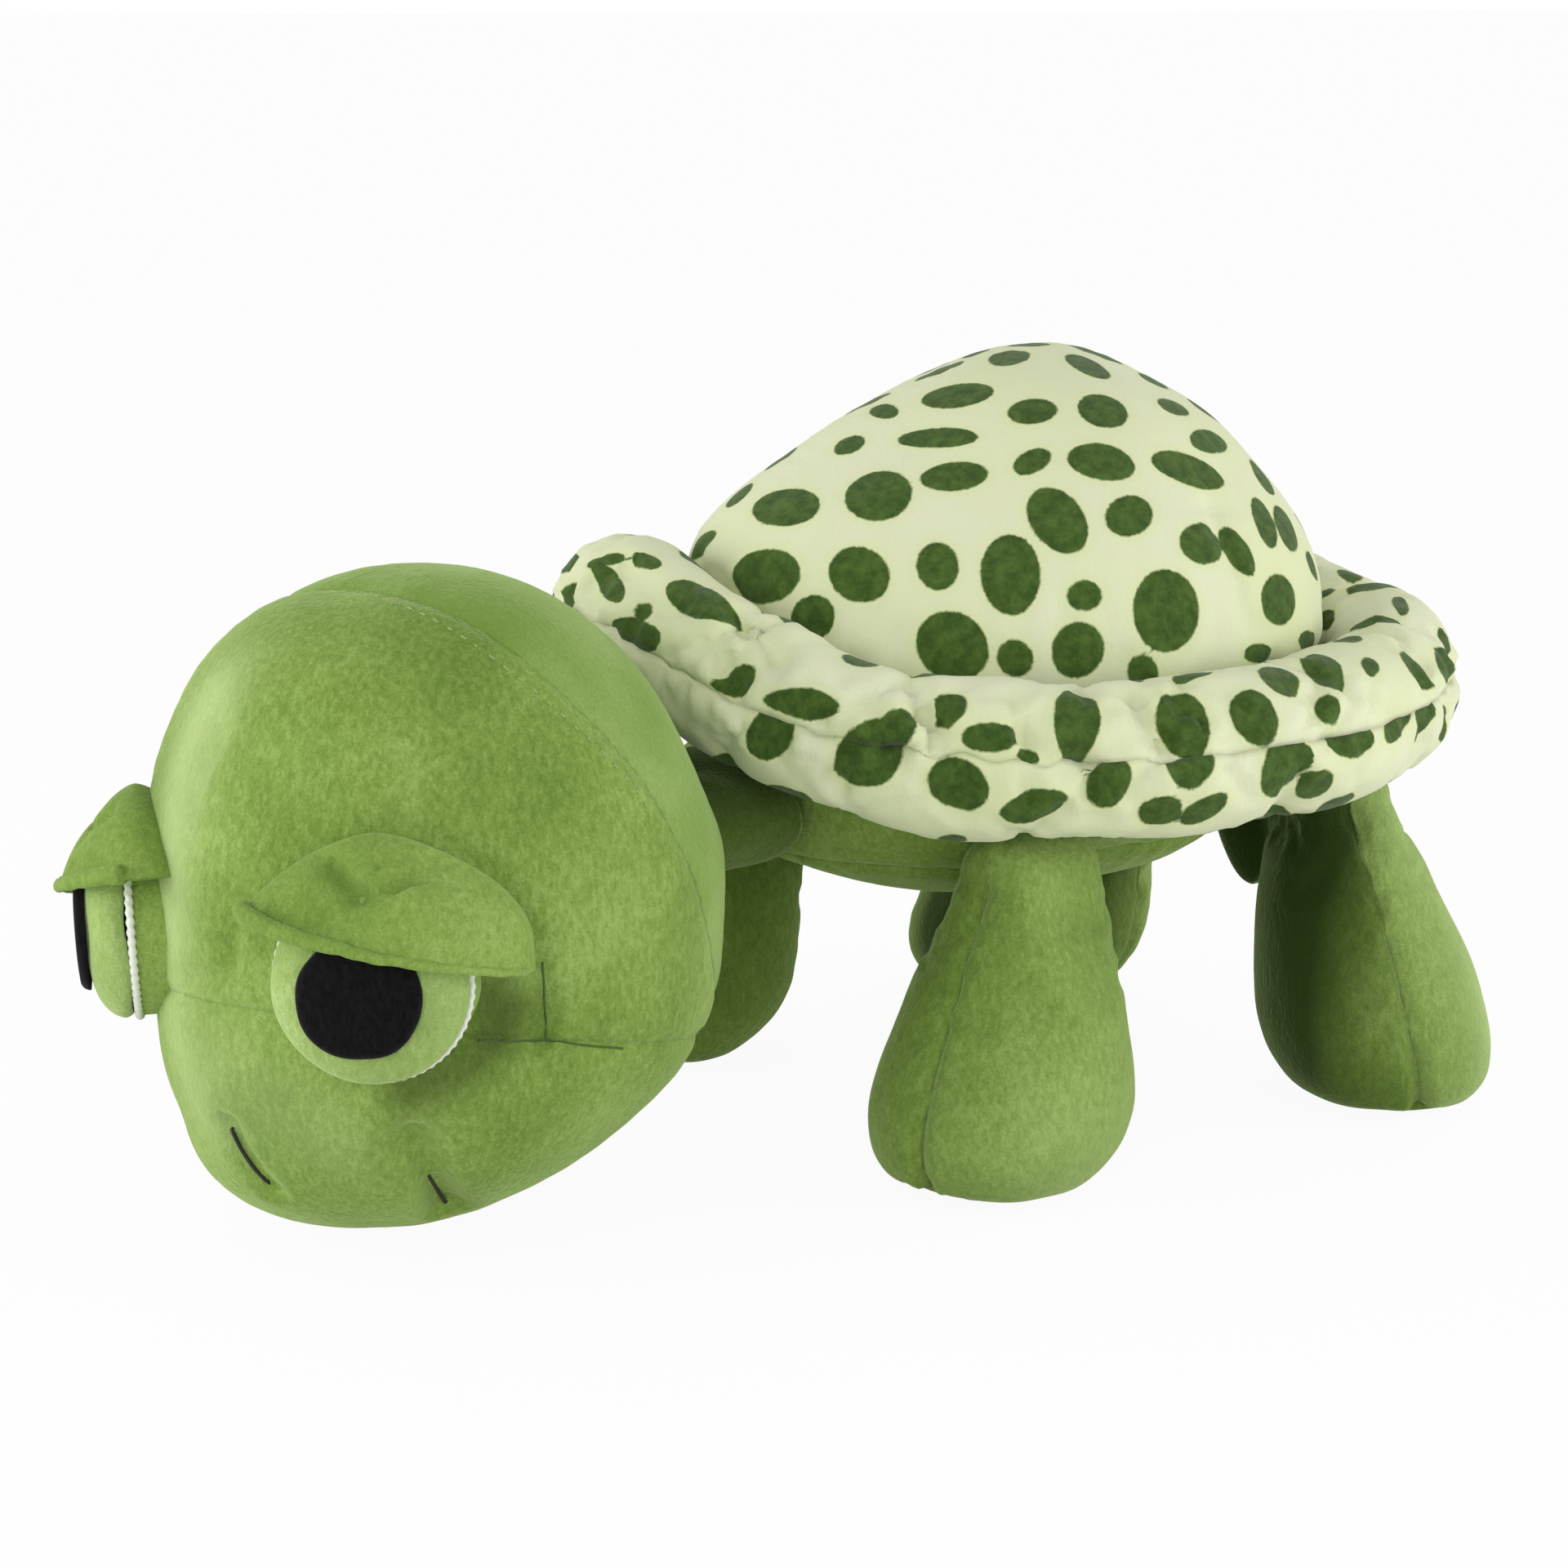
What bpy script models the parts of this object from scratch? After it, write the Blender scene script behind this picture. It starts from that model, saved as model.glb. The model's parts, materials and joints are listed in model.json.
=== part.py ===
"""Plush turtle with a spotted shell, a big drooping head and four splayed legs.

Every piece is what a maker would cut, sew or stuff: thin plush skins closed round
packed stuffing, seamed panels, stuffed disc eyes with hooded lids, a stuffed rim
round a peaked shell. Metres, +Z up. The turtle faces -Y and its left side is +X.
"""
import math

import bpy
import numpy as np

# Fabric, stuffing and the slack between pieces
SKIN_THICKNESS = 0.0018
SEAM_GAP = 0.0003
PACK_GAP = 0.0010
SOCKET_GAP = 0.0004
HIP_GAP = 0.0015
PRESS_DEPTH = 0.0005

# Torso: a shallow bowl carried on the legs
BELLY_HEIGHT = 0.0625
TORSO_DEPTH = 0.050
TORSO_HALF_WIDTH = 0.079
TORSO_FRONT_REACH = 0.087
TORSO_REAR_REACH = 0.101

# Shell rim: a stuffed roll round the dome
RIM_PATH_HALF_WIDTH = 0.106
RIM_PATH_HALF_LENGTH = 0.1115
RIM_SETBACK = 0.0020
RIM_ROLL_RADIUS = 0.0205
RIM_FRONT_RISE = 0.0350
RIM_SIDE_RISE = 0.0076
RIM_REAR_RISE = 0.0145

# Shell dome
DOME_HEIGHT = 0.1030
DOME_PEAK_SETBACK = 0.0095
DOME_BULGE = 0.0022

# Legs
LEG_TOP_RADIUS = 0.0145
LEG_TOP_HALF_LENGTH = 0.019
FRONT_LEG_HALF_WIDTH = 0.036
FRONT_LEG_HALF_THICKNESS = 0.033
HIND_LEG_HALF_WIDTH = 0.0385
HIND_LEG_HALF_THICKNESS = 0.0315
FRONT_HIP_HEIGHT = 0.0885
HIND_HIP_HEIGHT = 0.0935
LEFT_FRONT_FOOT_OUTWARD = 0.0005
LEFT_FRONT_FOOT_FORWARD = 0.0120
RIGHT_FRONT_FOOT_OUTWARD = 0.0165
RIGHT_FRONT_FOOT_FORWARD = 0.0235
LEFT_HIND_FOOT_OUTWARD = 0.0150
LEFT_HIND_FOOT_BACKWARD = 0.0125
RIGHT_HIND_FOOT_OUTWARD = 0.0290
RIGHT_HIND_FOOT_BACKWARD = -0.0030

# Tail
TAIL_LENGTH = 0.044
TAIL_HALF_WIDTH = 0.0125
TAIL_HALF_THICKNESS = 0.0065
TAIL_TOP_RADIUS = 0.005
TAIL_TOP_HALF_LENGTH = 0.010
TAIL_ROOT_HEIGHT = 0.0920
TAIL_BACKWARD = 0.009

# Neck
NECK_HALF_WIDTH = 0.033
NECK_HALF_HEIGHT = 0.0155
NECK_HEIGHT = 0.096
NECK_SPAN = 0.010

# Head
CHIN_HEIGHT = 0.0094
HEAD_HEIGHT = 0.1641
HEAD_HALF_WIDTH = 0.0738
HEAD_FRONT_REACH = 0.0735
HEAD_BACK_REACH = 0.0723
HEAD_ROLL_HEIGHT = 0.090
CHIN_LEAN = 0.013
CHIN_LEAN_RISE_SHARE = 0.35

# Eyes: stuffed discs with piping, and the lids over them
EYE_REACH = 0.088
EYE_HEIGHT = 0.0840
RIGHT_EYE_LIFT = 0.0040
EYE_RADIUS = 0.0236
EYE_BULGE = 0.0016
EYE_DEPTH = 0.0095
EYE_ROOT_DEPTH = 0.036
PIPING_RADIUS = 0.0010
PUPIL_RADIUS = 0.0150
PUPIL_THICKNESS = 0.0024
PUPIL_INWARD = 0.003
PUPIL_DROP = 0.002
LID_HALF_WIDTH = 0.0360
LID_RISE = 0.026
LID_REACH = 0.018
LID_SETBACK = 0.0134
LID_OUTWARD = 0.002
LID_LIFT = 0.009
LID_EDGE_LIFT = 0.010

# Mouth
MOUTH_THREAD_RADIUS = 0.0006

# Directions: azimuth is measured from straight ahead towards the turtle's left
HEAD_TURN = math.radians(12.0)
HEAD_ROLL = math.radians(4.0)
EYE_SPLAY = math.radians(37.0)
LID_SLOPE = math.radians(10.8)
RIM_SEAM_TILT = math.radians(10.0)
RIM_CREST_AZIMUTH = math.radians(-12.0)
DOME_SEAT_TILT = math.radians(20.0)
FRONT_HIP_AZIMUTH = math.radians(63.0)
HIND_HIP_AZIMUTH = math.radians(137.5)
FRONT_SEAM_AZIMUTH = math.radians(15.0)
HIND_SEAM_AZIMUTH = math.radians(65.0)
CROWN_SEAM_AZIMUTH = math.radians(90.0)
LEG_FOLD_IN = math.radians(10.0)
# Steps over which a surface's normal is read
NORMAL_TURN = math.radians(1.0)
NORMAL_ROW_SHARE = 0.05

# How far each swivelling end stands out of its socket, as a share of its radius
HIP_STAND_SHARE = 0.47
TAIL_STAND_SHARE = 0.47
NECK_REAR_STAND_SHARE = 0.57
NECK_FRONT_STAND_SHARE = 0.35
# Foot of the shell's stuffing, as a share of its widest ring
STUFFING_SEAT_SHARE = 0.93

# Section squareness: 2 is an ellipse, and more is squarer
TORSO_SQUARENESS = 2.5
LIMB_SQUARENESS = 2.1
LIMB_TOP_SQUARENESS = 4.0
LID_SQUARENESS = 1.6
DOME_FULLNESS = 1.85
DOME_FRONT_SLOPE = 0.45
DOME_REAR_SLOPE = 0.10
# How late the rim rises towards its crest over the neck, and towards its rear
RIM_CREST_POWER = 4.6
RIM_REAR_POWER = 3.0

# Outlines as rings from the bottom up, in shares of the sizes above.
# Torso: height, half width, front reach, rear reach
TORSO_RING_SHARES = (
    (0.000, 0.00, 0.00, 0.00),
    (0.028, 0.31, 0.37, 0.29),
    (0.123, 0.52, 0.61, 0.49),
    (0.236, 0.65, 0.78, 0.62),
    (0.349, 0.74, 0.91, 0.70),
    (0.462, 0.84, 0.965, 0.81),
    (0.575, 0.925, 0.99, 0.91),
    (0.689, 0.975, 1.00, 0.97),
    (0.840, 1.00, 1.00, 1.00),
    (0.953, 0.94, 0.94, 0.92),
    (1.000, 0.80, 0.82, 0.80),
    (1.000, 0.40, 0.40, 0.40),
    (1.000, 0.00, 0.00, 0.00),
)
# Head: height, half width, front reach, back reach
HEAD_RING_SHARES = (
    (0.000, 0.00, 0.22, -0.22),
    (0.003, 0.22, 0.47, -0.02),
    (0.027, 0.45, 0.68, 0.21),
    (0.063, 0.60, 0.80, 0.36),
    (0.119, 0.755, 0.895, 0.59),
    (0.188, 0.86, 0.94, 0.79),
    (0.251, 0.93, 0.985, 0.88),
    (0.316, 0.967, 1.00, 0.945),
    (0.421, 0.985, 1.00, 0.985),
    (0.537, 1.00, 0.99, 1.00),
    (0.613, 0.99, 0.97, 0.93),
    (0.702, 0.965, 0.925, 0.83),
    (0.791, 0.87, 0.85, 0.73),
    (0.880, 0.71, 0.73, 0.575),
    (0.955, 0.48, 0.51, 0.39),
    (0.993, 0.21, 0.23, 0.18),
    (1.000, 0.00, 0.00, 0.00),
)
# Leg: height, half width, half thickness, and the step from round to squarer
LEG_RING_SHARES = (
    (0.000, 0.00, 0.00, 0.0),
    (0.000, 0.42, 0.41, 0.0),
    (0.026, 0.71, 0.69, 0.0),
    (0.115, 0.925, 0.92, 0.0),
    (0.240, 1.00, 1.00, 0.0),
    (0.370, 0.97, 0.96, 0.0),
    (0.500, 0.90, 0.88, 0.0),
    (0.630, 0.82, 0.78, 0.05),
    (0.755, 0.73, 0.66, 0.15),
    (0.880, 0.62, 0.53, 0.45),
)
# Tail: height, half width, half thickness, and the step from round to squarer
TAIL_RING_SHARES = (
    (0.000, 0.00, 0.00, 0.0),
    (0.035, 0.34, 0.40, 0.0),
    (0.160, 0.66, 0.72, 0.0),
    (0.380, 0.94, 0.96, 0.0),
    (0.620, 1.00, 1.00, 0.1),
    (0.840, 0.90, 0.88, 0.5),
)
# Rows of a form from its lowest point up to the seam between two panels
BELLY_ROWS = 4
BACK_ROWS = 10
JAW_ROWS = 8
SOLE_ROWS = 2
# Rows between which every side of a form rises with each row
RISING_ROWS = (1, 9)
# Eye disc from its rim to its middle: reach, and depth under the front
EYE_ARC_SHARES = (
    (1.00, 1.00),
    (0.94, 0.60),
    (0.84, 0.28),
    (0.70, 0.04),
    (0.42, -0.12),
)
# Smile of the mouth thread: azimuth in degrees from straight ahead, height share
MOUTH_PATH_SHARES = (
    (0.6, 0.204),
    (3.0, 0.155),
    (9.0, 0.114),
    (22.0, 0.088),
    (38.0, 0.075),
    (54.0, 0.066),
    (64.0, 0.075),
    (57.0, 0.107),
    (52.0, 0.136),
)

# Resolution
HEAD_COLUMNS = 24
TORSO_COLUMNS = 24
DOME_ROWS = 8
RIM_COLUMNS = 32
RIM_SECTION = 8
LEG_COLUMNS = 16
LEG_TOP_ROWS = 4
TAIL_COLUMNS = 12
NECK_COLUMNS = 16
NECK_END_ROWS = 4
EYE_COLUMNS = 20
PIPING_SIDES = 5
LID_COLUMNS = 20
LID_ROWS = 12
SOCKET_COLUMNS = 28
SOCKET_ROWS = 12
TAIL_SOCKET_COLUMNS = 20

UP = np.array([0.0, 0.0, 1.0])
ORIGIN = np.zeros(3)


def heading(azimuth):
    """Level direction at an azimuth from straight ahead towards the left side."""
    return np.array([math.sin(azimuth), -math.cos(azimuth), 0.0])


def unit(vectors):
    lengths = np.linalg.norm(vectors, axis=-1, keepdims=True)
    return vectors / np.maximum(lengths, np.finfo(float).tiny)


def smooth_ring(rings, position):
    """Value through a table of rings that closes on a rounded pole at each end."""
    rings = np.asarray(rings, float)
    last = len(rings) - 1
    index = min(int(position), last - 1)
    share = position - index
    start = rings[index]
    end = rings[index + 1]
    before = rings[index - 1] if index else 2.0 * start - end
    after = rings[index + 2] if index + 2 <= last else 2.0 * end - start
    if index == 0:
        before[0] = end[0]
    if index + 2 > last:
        after[0] = start[0]
    return 0.5 * (
        2.0 * start
        + (end - before) * share
        + (2.0 * before - 5.0 * start + 4.0 * end - after) * share ** 2
        + (3.0 * start - before - 3.0 * end + after) * share ** 3
    )


def girth(azimuth, squareness):
    """Reach of a rounded square section of half size 1 at an azimuth."""
    parts = abs(math.cos(azimuth)) ** squareness + abs(math.sin(azimuth)) ** squareness
    return parts ** (-1.0 / squareness)


class Form:
    """A stuffed form: its outer surface on a grid of rings and columns.

    Rings rise and columns close. A ring of no size is a pole. In a roll the rings
    close too.
    """

    def __init__(self, grid, grounded=False, rolled=False):
        self.grid = grid
        self.grounded = grounded
        across = np.roll(grid, -1, axis=1) - np.roll(grid, 1, axis=1)
        along = np.gradient(grid, axis=0)
        if rolled:
            along = np.roll(grid, -1, axis=0) - np.roll(grid, 1, axis=0)
        self.normals = unit(np.cross(across, along))
        sizes = np.linalg.norm(np.ptp(grid, axis=1), axis=1)
        self.poles = tuple(sizes[end] < sizes.max() / 1000 for end in (0, -1))
        for pole, row, beside in ((self.poles[0], 0, 1), (self.poles[1], -1, -2)):
            if pole:
                self.normals[row] = unit(self.normals[beside].mean(axis=0))

    def layer(self, depth):
        """The surface this far under the outer one, pressed flat on the ground."""
        points = self.grid - self.normals * depth
        if self.grounded:
            points[..., 2] = np.maximum(points[..., 2], max(depth, 0.0))
        return points


def grid_solid(points, rows_close=False):
    """Vertices and faces of a closed body from one grid of rings."""
    rows, columns = points.shape[:2]
    vertices = []
    index = np.zeros((rows, columns), int)
    for row in range(rows):
        if not rows_close and row in (0, rows - 1):
            index[row] = len(vertices)
            vertices.append(points[row].mean(axis=0))
            continue
        for column in range(columns):
            index[row, column] = len(vertices)
            vertices.append(points[row, column])
    faces = []
    for row in range(rows if rows_close else rows - 1):
        above = (row + 1) % rows
        for column in range(columns):
            beside = (column + 1) % columns
            add_face(faces, index[row, column], index[row, beside],
                     index[above, beside], index[above, column])
    return vertices, faces


def add_face(faces, *corners):
    """Add a face, and leave out corners that fall together."""
    kept = []
    for corner in corners:
        if int(corner) not in kept:
            kept.append(int(corner))
    if len(kept) > 2:
        faces.append(tuple(kept))


def pull_in(outer, inner, axis, end):
    """Draw one edge of a patch back along its own surface by half a seam gap."""
    outer = np.moveaxis(outer, axis, 0)
    inner = np.moveaxis(inner, axis, 0)
    beside = 1 if end == 0 else -2
    step = outer[beside] - outer[end]
    share = SEAM_GAP / 2 / np.maximum(np.linalg.norm(step, axis=-1, keepdims=True), SEAM_GAP)
    outer[end] += share * step
    inner[end] += share * (inner[beside] - inner[end])


def skin_patch(form, first_row, last_row, columns=None, thickness=SKIN_THICKNESS):
    """Vertices and faces of a fabric panel cut from a form between seam rows.

    Columns is a range of column numbers, or None for a panel that goes all round.
    """
    count = form.grid.shape[1]
    chosen = [column % count for column in columns] if columns else list(range(count))
    outer = form.layer(0.0)[first_row:last_row + 1][:, chosen]
    inner = form.layer(thickness)[first_row:last_row + 1][:, chosen]
    pole_low = first_row == 0 and form.poles[0]
    pole_high = last_row == form.grid.shape[0] - 1 and form.poles[1]
    if not pole_low:
        pull_in(outer, inner, 0, 0)
    if not pole_high:
        pull_in(outer, inner, 0, -1)
    if columns:
        middle = len(chosen) // 2
        for pole, beside, present in ((0, 1, pole_low), (-1, -2, pole_high)):
            if present:
                step = unit(outer[beside, middle] - outer[pole, middle]) * SEAM_GAP / 2
                outer[pole] += step
                inner[pole] += step
        pull_in(outer[pole_low:len(outer) - pole_high],
                inner[pole_low:len(inner) - pole_high], 1, 0)
        pull_in(outer[pole_low:len(outer) - pole_high],
                inner[pole_low:len(inner) - pole_high], 1, -1)
    return close_patch(outer, inner, pole_low, pole_high, wraps=not columns)


def close_patch(outer, inner, pole_low, pole_high, wraps):
    """Join an outer and an inner face of a panel into one closed body."""
    rows, columns = outer.shape[:2]
    vertices = []
    index = np.zeros((2, rows, columns), int)
    for side, points in enumerate((outer, inner)):
        for row in range(rows):
            pole = (row == 0 and pole_low) or (row == rows - 1 and pole_high)
            for column in range(columns):
                if pole and column:
                    index[side, row, column] = index[side, row, 0]
                    continue
                index[side, row, column] = len(vertices)
                vertices.append(points[row, column])
    faces = []
    spans = columns if wraps else columns - 1
    out, into = index
    for row in range(rows - 1):
        for column in range(spans):
            beside = (column + 1) % columns
            add_face(faces, out[row, column], out[row, beside],
                     out[row + 1, beside], out[row + 1, column])
            add_face(faces, into[row, column], into[row + 1, column],
                     into[row + 1, beside], into[row, beside])
    for column in range(spans):
        beside = (column + 1) % columns
        if not pole_low:
            add_face(faces, out[0, column], into[0, column], into[0, beside], out[0, beside])
        if not pole_high:
            add_face(faces, out[-1, column], out[-1, beside],
                     into[-1, beside], into[-1, column])
    if not wraps:
        for row in range(rows - 1):
            add_face(faces, out[row, 0], out[row + 1, 0], into[row + 1, 0], into[row, 0])
            add_face(faces, out[row, -1], into[row, -1], into[row + 1, -1], out[row + 1, -1])
    return vertices, faces


def turned(profile, centre, axis, columns):
    """Body turned about an axis from a closed profile of reach and height pairs."""
    axis = unit(np.asarray(axis, float))
    first = unit(np.cross(axis, UP))
    second = np.cross(axis, first)
    vertices = []
    rings = []
    for reach, height in profile:
        if reach <= 0.0:
            rings.append([len(vertices)] * columns)
            vertices.append(centre + axis * height)
            continue
        ring = []
        for column in range(columns):
            angle = math.tau * column / columns
            ring.append(len(vertices))
            vertices.append(centre + axis * height
                            + reach * (math.cos(angle) * first + math.sin(angle) * second))
        rings.append(ring)
    faces = []
    closed = profile[0][0] > 0.0
    for number in range(len(rings) if closed else len(rings) - 1):
        low = rings[number]
        high = rings[(number + 1) % len(rings)]
        for column in range(columns):
            beside = (column + 1) % columns
            add_face(faces, low[column], low[beside], high[beside], high[column])
    return vertices, faces


def ball(centre, axes, reaches, columns, rows, squareness=2.0):
    """Closed egg of three half axes, for a socket or a lid."""
    grid = []
    for row in range(rows + 1):
        tilt = -math.pi / 2 + math.pi * row / rows
        level = abs(math.cos(tilt)) ** (2.0 / squareness) if 0 < row < rows else 0.0
        rise = math.copysign(abs(math.sin(tilt)) ** (2.0 / squareness), tilt)
        ring = []
        for column in range(columns):
            angle = math.tau * column / columns
            ring.append(centre
                        + axes[0] * reaches[0] * level * math.cos(angle)
                        + axes[1] * reaches[1] * level * math.sin(angle)
                        + axes[2] * reaches[2] * rise)
        grid.append(ring)
    return grid_solid(np.array(grid))


def barrel(centre, axis, half_length, radius, columns, rows):
    """Closed body of revolution with a blunt end each way, for a hip socket."""
    profile = [(0.0, -half_length)]
    for row in range(1, rows):
        along = -math.cos(math.pi * row / rows)
        profile.append((radius * (1.0 - along ** LIMB_TOP_SQUARENESS)
                        ** (1.0 / LIMB_TOP_SQUARENESS), half_length * along))
    profile.append((0.0, half_length))
    return turned(profile, centre, axis, columns)


# Torso form

def torso_point(position, azimuth):
    height, half_width, front, rear = smooth_ring(TORSO_RING_SHARES, position)
    front *= TORSO_FRONT_REACH
    rear *= TORSO_REAR_REACH
    reach = girth(azimuth, TORSO_SQUARENESS)
    return np.array([
        math.sin(azimuth) * reach * half_width * TORSO_HALF_WIDTH,
        (rear - front) / 2 - math.cos(azimuth) * reach * (rear + front) / 2,
        BELLY_HEIGHT + height * TORSO_DEPTH,
    ])


def ring_at_height(point_at, azimuth, height):
    """Ring position of a surface where it stands at a height."""
    low, high = RISING_ROWS
    for _ in range(40):
        middle = (low + high) / 2
        if point_at(middle, azimuth)[2] < height:
            low = middle
        else:
            high = middle
    return (low + high) / 2


def stand_point(point_at, azimuth, height, stand):
    """Point that stands out of a surface along its normal, from a place on it."""
    position = ring_at_height(point_at, azimuth, height)
    place = point_at(position, azimuth)
    side = point_at(position, azimuth + NORMAL_TURN)
    rise = point_at(position + NORMAL_ROW_SHARE, azimuth) - place
    normal = unit(np.cross(side - place, rise))
    return place + normal * stand


def round_grid(point_at, rows, columns):
    """Grid of a form whose surface is read at every ring and azimuth."""
    return np.array([[point_at(row, math.tau * column / columns)
                      for column in range(columns)] for row in range(rows)])


# Limb form: a leg or the tail

def limb_form(pivot, hinge, foot, half_width, half_thickness, shares,
              top_half_length, top_radius, columns, top_rows, grounded):
    """Teardrop limb that hangs from a blunt top turned about its hinge."""
    across = np.cross(UP, hinge)
    top_ring = (1.0, top_half_length / half_width, top_radius / half_thickness, 1.0)
    rings = tuple(shares) + (top_ring, top_ring)
    grid = []
    for row in range(len(shares) + 1):
        rise, width, thickness, step = smooth_ring(rings, row)
        squareness = LIMB_SQUARENESS + (LIMB_TOP_SQUARENESS - LIMB_SQUARENESS) * step
        centre = foot + (pivot - foot) * rise
        if grounded and rise <= 0.0:
            centre = centre - UP * PRESS_DEPTH
        ring = []
        for column in range(columns):
            angle = math.tau * column / columns
            reach = girth(angle, squareness)
            ring.append(centre
                        + hinge * math.cos(angle) * reach * width * half_width
                        + across * math.sin(angle) * reach * thickness * half_thickness)
        grid.append(ring)
    for row in range(1, top_rows + 1):
        tilt = math.pi / 2 * row / top_rows
        level = math.sin(tilt) ** 2
        ring = []
        for column in range(columns):
            angle = math.tau * column / columns
            along = math.cos(angle) ** 2
            beside = math.sin(angle) ** 2
            total = along ** 2 + beside ** 2
            square = (math.sqrt((beside * level) ** 2 + total * (1.0 - level ** 2))
                      - beside * level) / total
            reach = math.sqrt(max(square, 0.0))
            ring.append(pivot + UP * top_radius * math.sin(tilt)
                        + hinge * math.cos(angle) * reach * top_half_length
                        + across * math.sin(angle) * reach * top_radius)
        grid.append(ring)
    return Form(np.array(grid), grounded)


# Places of the joints

def hip_pivot(side, azimuth, height):
    place = stand_point(torso_point, azimuth, height, HIP_STAND_SHARE * LEG_TOP_RADIUS)
    return place * np.array([side, 1.0, 1.0])


NECK_WAY = heading(HEAD_TURN)
NECK_LEFT = np.array([math.cos(HEAD_TURN), math.sin(HEAD_TURN), 0.0])
neck_ring = ring_at_height(torso_point, 0.0, NECK_HEIGHT)
NECK_PIVOT = torso_point(neck_ring, 0.0) - np.array(
    [0.0, NECK_REAR_STAND_SHARE * NECK_HALF_WIDTH, 0.0])
HEAD_PIVOT = NECK_PIVOT + NECK_WAY * NECK_SPAN
HEAD_AXIS = HEAD_PIVOT + NECK_WAY * (
    HEAD_BACK_REACH + NECK_FRONT_STAND_SHARE * NECK_HALF_HEIGHT)
TAIL_PIVOT = stand_point(torso_point, math.pi, TAIL_ROOT_HEIGHT,
                         TAIL_STAND_SHARE * TAIL_TOP_RADIUS)
LEFT = np.array([1.0, 0.0, 0.0])

LEGS = {}
for leg_name, leg_side, outward, backward in (
        ("front_left", 1.0, LEFT_FRONT_FOOT_OUTWARD, -LEFT_FRONT_FOOT_FORWARD),
        ("front_right", -1.0, RIGHT_FRONT_FOOT_OUTWARD, -RIGHT_FRONT_FOOT_FORWARD),
        ("hind_left", 1.0, LEFT_HIND_FOOT_OUTWARD, LEFT_HIND_FOOT_BACKWARD),
        ("hind_right", -1.0, RIGHT_HIND_FOOT_OUTWARD, RIGHT_HIND_FOOT_BACKWARD)):
    front = leg_name.startswith("front")
    hip = hip_pivot(leg_side, FRONT_HIP_AZIMUTH if front else HIND_HIP_AZIMUTH,
                    FRONT_HIP_HEIGHT if front else HIND_HIP_HEIGHT)
    LEGS[leg_name] = {
        "pivot": hip,
        "foot": np.array([hip[0] + leg_side * outward, hip[1] + backward, 0.0]),
        "hinge": heading(leg_side * (FRONT_SEAM_AZIMUTH if front else HIND_SEAM_AZIMUTH)),
        "side": leg_side,
        "half_width": FRONT_LEG_HALF_WIDTH if front else HIND_LEG_HALF_WIDTH,
        "half_thickness": FRONT_LEG_HALF_THICKNESS if front else HIND_LEG_HALF_THICKNESS,
    }


def leg_form(name):
    leg = LEGS[name]
    return limb_form(leg["pivot"], leg["hinge"], leg["foot"], leg["half_width"],
                     leg["half_thickness"], LEG_RING_SHARES, LEG_TOP_HALF_LENGTH,
                     LEG_TOP_RADIUS, LEG_COLUMNS, LEG_TOP_ROWS, grounded=True)


def leg_room(name):
    """Hollow a leg nests in, drawn towards the middle as far as the leg folds in."""
    leg = LEGS[name]
    points = leg_form(name).layer(-HIP_GAP)
    for column in range(LEG_COLUMNS):
        outwardness = leg["side"] * math.sin(math.tau * column / LEG_COLUMNS)
        angle = -leg["side"] * LEG_FOLD_IN * (1.0 - outwardness) / 2
        arms = points[:, column] - leg["pivot"]
        along = (arms @ leg["hinge"])[:, None] * leg["hinge"]
        points[:, column] = (leg["pivot"] + along + (arms - along) * math.cos(angle)
                             + np.cross(leg["hinge"], arms) * math.sin(angle))
    return points


# Scene helpers

def clear_objects():
    for old in list(bpy.data.objects):
        bpy.data.objects.remove(old, do_unlink=True)


def fabric(name, colour, roughness):
    """Plain cloth finish with an sRGB-like colour given as linear values."""
    material = bpy.data.materials.new(name)
    material.use_nodes = True
    shader = material.node_tree.nodes["Principled BSDF"]
    shader.inputs["Base Color"].default_value = (*colour, 1.0)
    shader.inputs["Roughness"].default_value = roughness
    shader.inputs["Metallic"].default_value = 0.0
    material.diffuse_color = (*colour, 1.0)
    return material


MATERIAL_LOOKS = {
    "green_plush": ((0.27, 0.42, 0.10), 0.95),
    "spotted_plush": ((0.62, 0.70, 0.42), 0.95),
    "eye_green_plush": ((0.40, 0.55, 0.20), 0.9),
    "black_velour": ((0.008, 0.008, 0.009), 0.9),
    "white_piping": ((0.80, 0.82, 0.76), 0.6),
    "black_thread": ((0.010, 0.010, 0.010), 0.7),
    "stuffing": ((0.85, 0.85, 0.83), 1.0),
}

PIVOTS = {}
LOOKS = {}


def add_pivot(name, place, parent):
    pivot = bpy.data.objects.new(name, None)
    bpy.context.scene.collection.objects.link(pivot)
    if parent:
        pivot.parent = PIVOTS[parent][0]
        pivot.location = place - PIVOTS[parent][1]
    else:
        pivot.location = place
    PIVOTS[name] = (pivot, place)


def add_node(name, body, shape, look, smooth=True):
    """One named piece, its mesh kept relative to the pivot that carries it."""
    pivot, place = PIVOTS[body]
    vertices, faces = shape
    mesh = bpy.data.meshes.new(name)
    mesh.from_pydata([tuple(vertex - place) for vertex in vertices], [], faces)
    if smooth:
        mesh.shade_smooth()
    mesh.materials.append(LOOKS[look])
    piece = bpy.data.objects.new(name, mesh)
    piece.parent = pivot
    bpy.context.scene.collection.objects.link(piece)
    return piece


def add_cutter(name, body, shapes):
    """Guide body that cuts sockets and seats, and isn't a piece itself."""
    vertices = []
    faces = []
    for part_vertices, part_faces in shapes:
        start = len(vertices)
        vertices.extend(part_vertices)
        faces.extend(tuple(corner + start for corner in face) for face in part_faces)
    cutter = add_node(name, body, (vertices, faces), "stuffing")
    cutter.hide_render = True
    cutter.display_type = "WIRE"
    return cutter


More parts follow.
